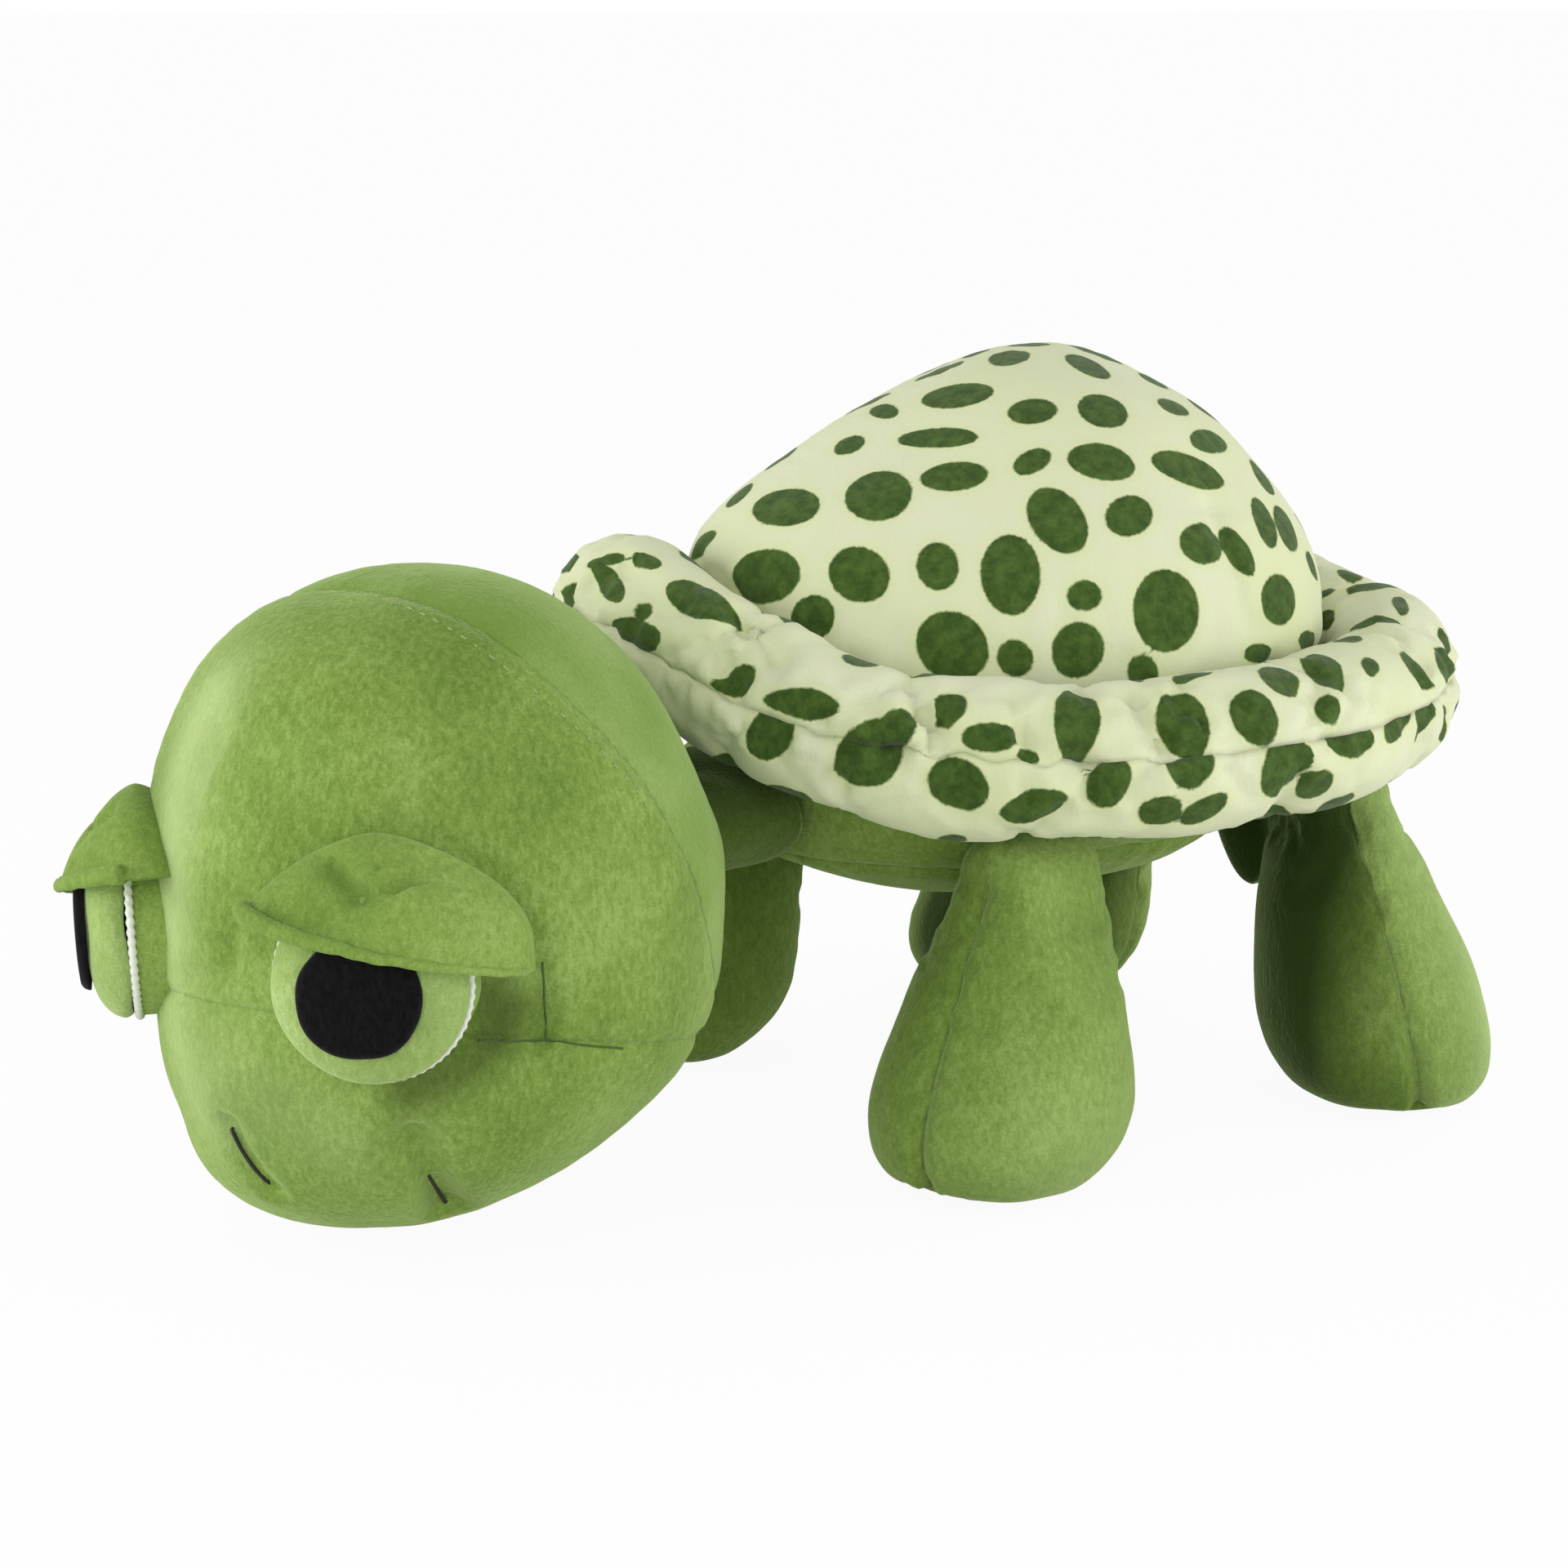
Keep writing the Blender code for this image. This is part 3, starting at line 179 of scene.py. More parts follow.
# Cloth simulation of each form: steps between its rows and columns, farthest move in
# metres, pressure of the fill and slack of the cloth
FILLINGS = {
    "torso": ((2, 2), 0.0020, 4.0, 0.03),
    "rim": ((2, 2), 0.0028, 6.0, 0.06),
    "dome": ((2, 3), 0.0022, 4.0, 0.02),
    "head": ((2, 2), 0.0015, 4.0, 0.01),
    "leg": ((3, 3), 0.0018, 4.0, 0.03),
}
TRIAL_SCALE = 10.0
TRIAL_FRAMES = 20
# Uneven fill of each form: height and length of its lumps in metres, and a seed
LUMPS = {
    "torso": (0.0006, 0.045, 11), "rim": (0.0016, 0.060, 21),
    "rim_fine": (0.0006, 0.022, 22), "dome": (0.0009, 0.055, 41),
    "head": (0.0006, 0.060, 71), "disc": (0.0005, 0.02, 81), "lid": (0.0006, 0.025, 91),
    "hem": (0.0003, 0.006, 95), "neck": (0.0006, 0.018, 95),
}

# The studio camera, placed from the middle of the torso
CAMERA_AZIMUTH = math.radians(55.5)
CAMERA_ELEVATION = math.radians(12.5)
CAMERA_DISTANCE = 1.0
CAMERA_LENS_MM = 81.52
SENSOR_MM = 36.0
PHOTO_SIZE = 1920.0
CAMERA_TARGET = (-0.0136, -0.0635, 0.0958)

# Printed spots seen in the photograph, in its pixels: centre x and y, half length,
# half width, and tilt in degrees, clockwise from level
DOME_SPOT_PIXELS = (
    (1332, 448, 35, 16, 25), (1236, 438, 26, 8, -5), (1172, 484, 45, 14, -8),
    (1082, 503, 18, 9, 0), (1264, 503, 31, 15, -5), (1351, 502, 32, 20, 15),
    (1437, 498, 21, 7, 25), (1040, 545, 20, 10, -20), (1148, 536, 50, 12, -3),
    (1481, 540, 33, 14, 22), (1168, 583, 42, 18, -5), (1264, 565, 25, 14, -25),
    (1349, 565, 43, 22, 12), (1456, 575, 48, 18, 22), (962, 620, 42, 22, -10),
    (1075, 605, 42, 30, -10), (1295, 636, 46, 32, 50), (1383, 631, 30, 25, -15),
    (1474, 665, 30, 24, 15), (1517, 673, 37, 18, 58), (1549, 639, 34, 12, 68),
    (1575, 646, 53, 13, 68), (1567, 734, 32, 21, 85), (857, 667, 25, 9, -45),
    (937, 705, 42, 33, -25), (1052, 703, 38, 34, 20), (1148, 693, 30, 26, 80),
    (1237, 702, 50, 37, 85), (1328, 729, 22, 19, 0), (1429, 747, 52, 40, 85),
    (994, 756, 30, 29, 0), (1166, 791, 46, 42, 50), (1243, 806, 24, 22, 50),
    (1320, 796, 36, 33, -50), (1400, 824, 23, 19, 60), (1541, 800, 16, 12, 0),
    (1603, 785, 13, 12, 0), (905, 606, 22, 6, -42),
)
RIM_UPPER_SPOT_PIXELS = (
    (747, 716, 25, 19, 10), (697, 733, 19, 15, -60), (791, 686, 19, 8, 8),
    (741, 686, 25, 6, -15), (695, 690, 32, 10, -35), (855, 733, 42, 23, 8),
    (789, 749, 13, 12, 0), (779, 777, 33, 20, 25), (909, 834, 21, 16, 90),
    (888, 842, 22, 8, 25), (985, 861, 36, 21, 15), (1078, 808, 34, 17, 15),
    (1098, 892, 27, 23, -55), (1066, 924, 46, 36, -65), (1162, 865, 23, 17, -20),
    (1212, 903, 36, 18, 0), (1259, 926, 15, 9, 20), (1319, 877, 51, 29, 90),
    (1257, 830, 16, 9, 0),
    (1449, 884, 41, 34, 75), (1537, 875, 36, 30, 50), (1567, 830, 30, 15, 30),
    (1620, 815, 32, 19, 30), (1678, 815, 13, 10, 45), (1627, 866, 20, 18, 60),
    (1738, 818, 30, 20, 50), (1768, 785, 18, 6, 70), (1680, 716, 45, 8, -5),
    (1715, 740, 30, 10, 35), (1684, 761, 38, 8, -5), (1650, 783, 19, 6, -8),
)
RIM_LOWER_SPOT_PIXELS = (
    (942, 899, 29, 29, 0), (1066, 924, 46, 36, -65), (1174, 960, 40, 33, 25),
    (1266, 988, 44, 22, -15), (1357, 960, 34, 27, -60), (1421, 995, 28, 19, -20),
    (1475, 992, 34, 14, -30), (1457, 932, 33, 25, 0), (1578, 942, 43, 29, -58),
    (1610, 962, 26, 16, -30), (1655, 902, 28, 18, 65), (1712, 881, 31, 13, -75),
    (1744, 875, 35, 12, -70),
)
# Creases seen in the photograph, in its pixels, with depth and width in metres
RIM_CREASE_PIXELS = (
    (((1118, 838), (1128, 862), (1142, 890)), 0.0046, 0.0042),
    (((1392, 852), (1405, 876), (1424, 906)), 0.0056, 0.0048),
    (((1070, 868), (1088, 902), (1098, 925)), 0.0026, 0.0035),
    (((1010, 880), (1018, 925), (1024, 955)), 0.0018, 0.0045),
    (((1240, 852), (1246, 880), (1252, 905)), 0.0022, 0.0040),
    (((1506, 845), (1515, 880), (1520, 905)), 0.0020, 0.0045),
    (((905, 752), (930, 778), (952, 806)), 0.0040, 0.0046),
    (((836, 742), (872, 792), (905, 838)), 0.0026, 0.0038),
    (((760, 690), (790, 718), (812, 750)), 0.0016, 0.0045),
    (((1160, 930), (1172, 960), (1180, 990)), 0.0014, 0.0040),
    (((1330, 935), (1338, 965), (1340, 1000)), 0.0016, 0.0045),
    (((1600, 850), (1622, 880), (1640, 915)), 0.0024, 0.0042),
)
HEAD_CREASE_PIXELS = (
    (((266, 895), (246, 935), (232, 972)), 0.0026, 0.0046),
    (((283, 1141), (277, 1186), (255, 1199), (228, 1204)), 0.0026, 0.0030),
)
# Creases round the near eye, which the far eye has too
SOCKET_CREASE_PIXELS = (
    (((664, 1180), (667, 1230), (668, 1275)), 0.0022, 0.0020),
    (((600, 1225), (640, 1245), (655, 1262)), 0.0038, 0.0085),
    (((480, 1000), (549, 1033), (613, 1080), (650, 1142), (664, 1190)), 0.0012, 0.0020),
)
# Sewing thread that shows on the head
CROWN_STITCH_PIXELS = ((420, 724), (517, 752), (619, 818), (726, 910), (800, 1000))
CORNER_SEAM_PIXELS = (
    ((664, 1178), (667, 1230), (668, 1272)),
    ((585, 1274), (625, 1275), (668, 1274), (716, 1280), (762, 1284)),
)
# Painted light on the head: pale strokes are painted highlights down its left side and
# under the muzzle, dark strokes are painted shade in the recesses beside and under the
# near eye; path, width in metres and strength
HEAD_PAINTED_LIGHT_PIXELS = (
    (((262, 850), (228, 930), (210, 1030), (208, 1130)), 0.012, 0.50),
    (((212, 1230), (232, 1320), (262, 1380)), 0.010, 0.30),
    (((270, 1290), (330, 1350), (400, 1390)), 0.014, 0.14),
    (((596, 1218), (628, 1240)), 0.0070, -0.60),
    (((500, 1340), (560, 1312), (600, 1280)), 0.0070, -0.60),
)
MOUTH_DIMPLE_PIXELS = (
    (((281, 1376), (296, 1408), (311, 1430), (333, 1455)), 0.0024, 0.0036),
    (((506, 1395), (522, 1430), (538, 1460), (547, 1478)), 0.0052, 0.0058),
    (((518, 1428), (532, 1450), (544, 1472), (552, 1488)), 0.0030, 0.0022),
)
MOUTH_STITCH_PIXELS = (
    ((284, 1384), (296, 1408), (311, 1430), (329, 1449)),
    ((525, 1440), (535, 1456), (545, 1472)),
)
DART_SEAM_PIXELS = ((1484, 615), (1500, 652), (1516, 700), (1530, 745), (1542, 772))
LID_FOLD_PIXELS = (
    (((395, 1040), (420, 1070), (441, 1100)), 0.0030, 0.0024),
    (((466, 1108), (505, 1080), (546, 1056)), 0.0022, 0.0020),
    (((488, 1112), (515, 1099), (550, 1088)), 0.0017, 0.0017),
    (((462, 1062), (505, 1048), (545, 1046)), 0.0012, 0.0015),
    (((300, 1098), (350, 1116), (400, 1134)), 0.0022, 0.0026),
)

# Painted light and shade on a leg's panel, lighter on the lit outer panels and low down,
# darker high up on the inner ones:
# shares of its rows where the high stroke starts and the low one ends, and the strengths
# low down and high up
LEG_PAINTED_LIGHT = {
    ("front", "outer"): (0.75, 0.25, 0.25, 0.05),
    ("front", "inner"): (0.50, 0.25, 0.05, -0.30),
    ("hind", "outer"): (0.55, 0.40, 0.35, 0.30),
    ("hind", "inner"): (0.40, 0.20, 0.10, -1.60),
}

# Half widths and half thicknesses of the legs and the tail
LEG_HALVES = {"front": (0.036, 0.033), "hind": (0.0385, 0.0315)}
TAIL_HALVES = (0.0125, 0.0065)

# Seam planes of the head, in its own left, back and up: a point and a normal
CROWN_SEAM = ((0.0, -0.0197, 0.1668), (0.0, 1.0, 0.60))
JAW_SEAM = ((0.0, 0.0, 0.0595), (0.0, 0.22, 1.0))
HEAD_SEAMS = (CROWN_SEAM, JAW_SEAM)

UP = np.array([0.0, 0.0, 1.0])
LEFT = np.array([1.0, 0.0, 0.0])
MIRROR = np.array([-1.0, 1.0, 1.0])


def heading(azimuth):
    """Level direction at an azimuth from straight ahead towards the left side."""
    return np.array([math.sin(azimuth), -math.cos(azimuth), 0.0])


def unit(vectors):
    """The same directions at length 1."""
    lengths = np.linalg.norm(vectors, axis=-1, keepdims=True)
    return vectors / np.maximum(lengths, np.finfo(float).tiny)


def joint_place(name):
    return np.array(JOINTS[name]["pos_m"], float)


def node_box(*names):
    """Lowest and highest corner of several nodes of the frame."""
    corners = [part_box(name) for name in names]
    low = np.min([corner[0] for corner in corners], axis=0)
    high = np.max([corner[1] for corner in corners], axis=0)
    return low, high


# Places read from the frame
RIM_LOW, RIM_HIGH = node_box("rim_upper_strip", "rim_lower_strip")
TORSO_LOW, TORSO_HIGH = node_box("torso_belly_panel", "torso_side_panel",
                                 "torso_back_panel")
DOME_LOW, DOME_HIGH = node_box("shell_dome")
SHELL_MIDDLE = np.array([0.0, (RIM_LOW[1] + RIM_HIGH[1]) / 2, 0.0])
TORSO_MIDDLE = SHELL_MIDDLE - np.array([0.0, RIM_SETBACK, 0.0])
TORSO_TOP = TORSO_HIGH[2]
RIM_ROLL_RADIUS = (RIM_HIGH[0] - RIM_LOW[0]) / 2 - RIM_PATH_HALF_WIDTH
NECK_PIVOT = joint_place("neck_turn")
HEAD_PIVOT = joint_place("head_nod")
NECK_LEFT = unit(np.array(JOINTS["head_nod"]["axis"], float))
NECK_WAY = np.cross(NECK_LEFT, UP)
HEAD_LEFT = NECK_LEFT * math.cos(HEAD_ROLL) + UP * math.sin(HEAD_ROLL)
HEAD_UP = UP * math.cos(HEAD_ROLL) - NECK_LEFT * math.sin(HEAD_ROLL)
HEAD_AXIS = HEAD_PIVOT + NECK_WAY * (HEAD_BACK_REACH + HEAD_PIVOT_INSET)
HEAD_CENTRE = np.array([HEAD_AXIS[0], HEAD_AXIS[1], HEAD_ROLL_HEIGHT])


def head_way(local):
    """World direction of one given in the head's own left, back and up."""
    local = np.asarray(local, float)
    return (local[..., :1] * HEAD_LEFT - local[..., 1:2] * NECK_WAY
            + local[..., 2:] * HEAD_UP)


def head_place(local):
    return HEAD_CENTRE + head_way(np.asarray(local, float) - UP * HEAD_ROLL_HEIGHT)


def head_local(points):
    """The head's own left, back and up of world points."""
    arms = np.asarray(points, float) - HEAD_CENTRE
    return np.stack([arms @ HEAD_LEFT, -(arms @ NECK_WAY), arms @ HEAD_UP], -1) \
        + UP * HEAD_ROLL_HEIGHT


def mirrored(path):
    """The same path on the other side of the head."""
    return head_place(head_local(path) * MIRROR)


# Camera geometry, shared by the stage and by what the photograph places
CAMERA_BACK = np.array([math.sin(CAMERA_AZIMUTH) * math.cos(CAMERA_ELEVATION),
                        -math.cos(CAMERA_AZIMUTH) * math.cos(CAMERA_ELEVATION),
                        math.sin(CAMERA_ELEVATION)])
CAMERA_RIGHT = np.array([math.cos(CAMERA_AZIMUTH), math.sin(CAMERA_AZIMUTH), 0.0])
CAMERA_UP = np.cross(CAMERA_BACK, CAMERA_RIGHT)
CAMERA_PLACE = (np.array(CAMERA_TARGET) + TORSO_MIDDLE + CAMERA_BACK * CAMERA_DISTANCE)
FOCAL_PIXELS = CAMERA_LENS_MM / SENSOR_MM * PHOTO_SIZE


def photo_way(pixel):
    """Direction in which the camera sees a pixel of the photograph."""
    across = (pixel[0] - PHOTO_SIZE / 2) / FOCAL_PIXELS
    down = (pixel[1] - PHOTO_SIZE / 2) / FOCAL_PIXELS
    return unit(CAMERA_RIGHT * across - CAMERA_UP * down - CAMERA_BACK)


# Curves and grids

def around(columns):
    """Angles of columns that close on themselves."""
    return np.linspace(0.0, math.tau, columns, endpoint=False)


def ring(angles, first, second):
    """Points of a ring about the origin, from its two half axes."""
    return np.cos(angles)[:, None] * first + np.sin(angles)[:, None] * second


def through(rings, positions, poles=True):
    """Values on a smooth curve through a table of rings, rounded at its two poles."""
    rings = np.asarray(rings, float)
    last = len(rings) - 1
    index = np.clip(positions.astype(int), 0, last - 1)
    share = (positions - index)[:, None]
    start, end = rings[index], rings[index + 1]
    before = rings[np.maximum(index - 1, 0)]
    after = rings[np.minimum(index + 2, last)]
    if poles:
        first, final = index == 0, index + 2 > last
        before[first] = 2 * start[first] - end[first]
        before[first, 0] = end[first, 0]
        after[final] = 2 * end[final] - start[final]
        after[final, 0] = start[final, 0]
    return 0.5 * (2 * start + (end - before) * share
                  + (2 * before - 5 * start + 4 * end - after) * share ** 2
                  + (3 * start - before - 3 * end + after) * share ** 3)


def girth(angles, squareness):
    """Reach of a rounded square section of half size 1."""
    return (np.abs(np.cos(angles)) ** squareness
            + np.abs(np.sin(angles)) ** squareness) ** (-1.0 / squareness)


def even_positions(surface, last, count, kept=()):
    """Ring positions that give rows of even spacing, with some positions kept."""
    dense = np.linspace(0.0, last, 40 * int(last) + 1)
    rows = surface(dense)
    steps = np.linalg.norm(np.diff(rows, axis=0), axis=2).mean(axis=1)
    travelled = np.concatenate([[0.0], np.cumsum(steps)])
    positions = np.interp(np.linspace(0.0, travelled[-1], count), travelled, dense)
    for place in kept:
        positions[np.argmin(np.abs(positions - place))] = place
    return positions


def lumps(points, height, size, seed):
    """Soft lumps of about a given height and size, the same on every run."""
    random = np.random.default_rng(seed)
    count = 14
    total = np.zeros(points.shape[:-1])
    for _ in range(count):
        way = unit(random.normal(size=3))
        pace = math.tau / size * random.uniform(0.7, 1.4)
        total += np.sin(points @ way * pace + random.uniform(0, math.tau))
    return height * (total / math.sqrt(count) / 1.5)


def smooth_path(points, steps=8):
    """A finer curve through a few points of a path."""
    points = np.asarray(points, float)
    last = len(points) - 1
    positions = np.linspace(0.0, last, steps * last + 1)
    ends = np.concatenate([[2 * points[0] - points[1]], points,
                           [2 * points[-1] - points[-2]]])
    return through(ends, np.clip(positions + 1.0, 1.0, last + 1.0 - 1e-9))


def is_point(row):
    """Whether a row of a grid has no size."""
    return np.ptp(row, axis=0).max() < 1e-7


def path_lengths(path):
    """How far along a path each of its points lies."""
    steps = np.linalg.norm(np.diff(path, axis=0), axis=1)
    return np.concatenate([[0.0], np.cumsum(steps)])


def fill_out(form, steps, reach, swell, slack):
    """Let the fill press the sewn cloth outwards while its seams hold it.

    The cloth is simulated on a coarser copy of the form, ten times its size, and how
    far it went is read back on the fine form and capped.
    """
    rows = np.arange(0, len(form.points), steps[0])
    if not form.rolled and rows[-1] != len(form.points) - 1:
        rows = np.append(rows, len(form.points) - 1)
    columns = np.arange(0, form.points.shape[1], steps[1])
    coarse = form.points[rows][:, columns]
    vertices, faces, index = grid_mesh(coarse * TRIAL_SCALE, form.rolled, True)
    mesh = bpy.data.meshes.new("cloth_trial")
    mesh.from_pydata(vertices, [], faces)
    trial = bpy.data.objects.new("cloth_trial", mesh)
    bpy.context.scene.collection.objects.link(trial)
    group = trial.vertex_groups.new(name="sewn")
    for number, weight in zip(index.flat, form.held[rows][:, columns].flat):
        if weight > 0.02:
            group.add([int(number)], float(min(weight, 1.0)), "REPLACE")
    cloth = trial.modifiers.new("cloth", "CLOTH")
    settings = cloth.settings
    settings.quality = 4
    settings.mass = 0.06
    settings.use_pressure = True
    settings.uniform_pressure_force = swell
    settings.vertex_group_mass = "sewn"
    settings.shrink_min = -slack
    settings.bending_stiffness = 0.4
    settings.effector_weights.gravity = 0.0
    cloth.point_cache.frame_end = TRIAL_FRAMES
    scene = bpy.context.scene
    for number in range(1, TRIAL_FRAMES + 1):
        scene.frame_set(number)
    settled = trial.evaluated_get(bpy.context.evaluated_depsgraph_get()).to_mesh()
    places = np.empty(len(settled.vertices) * 3)
    settled.vertices.foreach_get("co", places)
    places = places.reshape(-1, 3)[index] / TRIAL_SCALE
    moved = places - coarse
    normals = Form(coarse, form.rolled).normals()
    outward = np.sum(moved * normals, axis=-1, keepdims=True)
    typical = outward.mean(axis=1, keepdims=True) if form.rolled else outward.mean()
    moved = moved - normals * typical
    lengths = np.linalg.norm(moved, axis=-1, keepdims=True)
    moved *= np.minimum(1.0, reach / np.maximum(lengths, 1e-9))
    if not form.rolled:
        for row, beside, next_row in ((0, 1, 2), (-1, -2, -3)):
            if is_point(coarse[row]):
                moved[[row, beside]] = moved[next_row].mean(axis=0)
    trial.evaluated_get(bpy.context.evaluated_depsgraph_get()).to_mesh_clear()
    bpy.data.objects.remove(trial)
    scene.frame_set(1)
    form.points = form.points + spread(moved, rows, columns, form)


def spread(moved, rows, columns, form):
    """Movement known on some rows and columns, read smoothly on every one."""
    count_rows, count_columns = form.points.shape[:2]
    positions = np.interp(np.arange(count_rows), rows, np.arange(len(rows)))
    if form.rolled:
        positions = np.arange(count_rows) / count_rows * len(rows)
        moved = np.concatenate([moved[-1:], moved, moved[:2]])
        positions = positions + 1.0
    positions = np.minimum(positions, len(moved) - 1 - 1e-6)
    tall = through(moved.reshape(len(moved), -1), positions, poles=False)
    tall = tall.reshape(count_rows, len(columns), 3).transpose(1, 0, 2)
    wrapped = np.concatenate([tall[-1:], tall, tall[:2]])
    places = np.arange(count_columns) / count_columns * len(columns) + 1.0
    wide = through(wrapped.reshape(len(wrapped), -1), places, poles=False)
    return wide.reshape(count_columns, count_rows, 3).transpose(1, 0, 2)


def nearest_on(points, path):
    """Distance of each point to a path, and how far along the path it is."""
    flat = points.reshape(-1, 3)
    best = np.full(len(flat), np.inf)
    along = np.zeros(len(flat))
    travelled = 0.0
    for start, end in zip(path[:-1], path[1:]):
        run = end - start
        length = np.linalg.norm(run)
        share = np.clip((flat - start) @ run / max(length ** 2, 1e-12), 0.0, 1.0)
        gap = np.linalg.norm(flat - start - share[:, None] * run, axis=1)
        closer = gap < best
        best[closer] = gap[closer]
        along[closer] = travelled + share[closer] * length
        travelled += length
    return best.reshape(points.shape[:-1]), along.reshape(points.shape[:-1])


class Form:
    """A stuffed form on a grid of rows that rise and columns that close."""

    def __init__(self, points, rolled=False):
        self.points = points
        self.rolled = rolled
        self.held = np.zeros(points.shape[:2])

    def normals(self):
        grid = self.points
        across = np.roll(grid, -1, axis=1) - np.roll(grid, 1, axis=1)
        along = np.gradient(grid, axis=0)
        if self.rolled:
            along = np.roll(grid, -1, axis=0) - np.roll(grid, 1, axis=0)
        normals = unit(np.cross(across, along))
        if not self.rolled:
            for row, beside in ((0, 2), (-1, -3)):
                if is_point(grid[row]):
                    normals[row] = unit(normals[beside].mean(axis=0))
        return normals

    def push(self, amounts):
        """Move the surface out along its normals by so many metres."""
        self.points = self.points + self.normals() * amounts[..., None]

    def sew(self, path, depth, width, gather=0.0, wave=0.008, seed=1):
        """Sink a seam into the stuffed cloth and gather the cloth beside it."""
        gap, along = nearest_on(self.points, path)
        groove = -depth * np.exp(-(gap / width) ** 2)
        random = np.random.default_rng(seed)
        ripple = np.zeros_like(along)
        for _ in range(5):
            pace = math.tau / wave * random.uniform(0.6, 1.5)
            ripple += np.sin(along * pace + random.uniform(0, math.tau))
        fade = np.exp(-gap / (width * 3)) * (1.0 - np.exp(-(gap / width) ** 2))
        self.push(groove + gather * ripple / 2.5 * fade)

    def hold(self, path, width):
        """Mark the cloth beside a path as sewn down."""
        gap, _ = nearest_on(self.points, path)
        self.held = np.maximum(self.held, np.exp(-(gap / width) ** 2))

    def tree(self):
        """Search tree over the surface, for rays cast from the camera."""
        vertices, faces = patch(self.points, self.rolled)
        return BVHTree.FromPolygons([Vector(vertex) for vertex in vertices], faces)


def grid_mesh(points, rows_close, columns_close):
    """Vertices, faces and vertex numbers of a grid; a row of no size is one point."""
    rows, columns = points.shape[:2]
    index = np.zeros((rows, columns), int)
    vertices = []
    for row in range(rows):
        if is_point(points[row]):
            index[row] = len(vertices)
            vertices.append(tuple(points[row, 0]))
            continue
        index[row] = range(len(vertices), len(vertices) + columns)
        vertices.extend(map(tuple, points[row]))
    faces = []
    for row in range(rows if rows_close else rows - 1):
        above = index[(row + 1) % rows]
        for column in range(columns if columns_close else columns - 1):
            beside = (column + 1) % columns
            corners = dict.fromkeys(
                (int(index[row, column]), int(index[row, beside]),
                 int(above[beside]), int(above[column])))
            if len(corners) > 2:
                faces.append(tuple(corners))
    return vertices, faces, index


def patch(points, rows_close=False, columns_close=True):
    """Vertices and faces of a grid."""
    return grid_mesh(points, rows_close, columns_close)[:2]


def cast(tree, pixel):
    """Where the camera's line through a pixel meets a surface, and its normal."""
    place, normal, _, _ = tree.ray_cast(Vector(CAMERA_PLACE), Vector(photo_way(pixel)))
    if place is None:
        return None, None
    return np.array(place), np.array(normal)


def cast_path(tree, pixels, steps=8):
    """A path drawn in the photograph, laid on a surface."""
    hits = [cast(tree, pixel)[0] for pixel in pixels]
    return smooth_path([hit for hit in hits if hit is not None], steps)


# Finishes

def linear(hex_colour, share=1.0):
    """Linear colour of an sRGB hex colour, or of a darker share of it."""
    values = [int(hex_colour[start:start + 2], 16) / 255 for start in (1, 3, 5)]
    return [share * (value / 12.92 if value <= 0.04045
                     else ((value + 0.055) / 1.055) ** 2.4) for value in values] + [1.0]


def join(tree, node, inputs):
    """Fill or link a node's inputs."""
    for key, value in inputs.items():
        if isinstance(value, bpy.types.NodeSocket):
            tree.links.new(value, node.inputs[key])
        else:
            node.inputs[key].default_value = value


def add_node(tree, kind, inputs=None, **settings):
    """Add a shader node, set its properties, and fill or link its inputs."""
    made = tree.nodes.new("ShaderNode" + kind)
    for name, value in settings.items():
        setattr(made, name, value)
    join(tree, made, inputs or {})
    return made


def new_material(name):
    """An empty material, its node tree and the place of each point on its piece."""
    material = bpy.data.materials.new(name)
    material.use_nodes = True
    tree = material.node_tree
    return material, tree, add_node(tree, "TexCoord").outputs["Object"]


def dress(tree, colour, height, relief, levels):
    """Give the shader its colour, its relief and the levels that don't vary."""
    bump = add_node(tree, "Bump", {"Height": height, "Strength": relief[0],
                                   "Distance": relief[1]})
    join(tree, tree.nodes["Principled BSDF"],
         {"Base Color": colour, "Normal": bump.outputs["Normal"], **levels})


def pile_grain(tree, place, size):
    """Noise as fine as tufts of pile, drawn out along the lie of the nap."""
    lie = add_node(tree, "Mapping", {"Vector": place, "Scale": (1.0, 1.0, 0.55)})
    grain = add_node(tree, "TexNoise", {"Vector": lie.outputs["Vector"],
                                        "Scale": 1.0 / size, "Detail": 3.0,
                                        "Roughness": 0.62})
    return grain.outputs["Fac"]


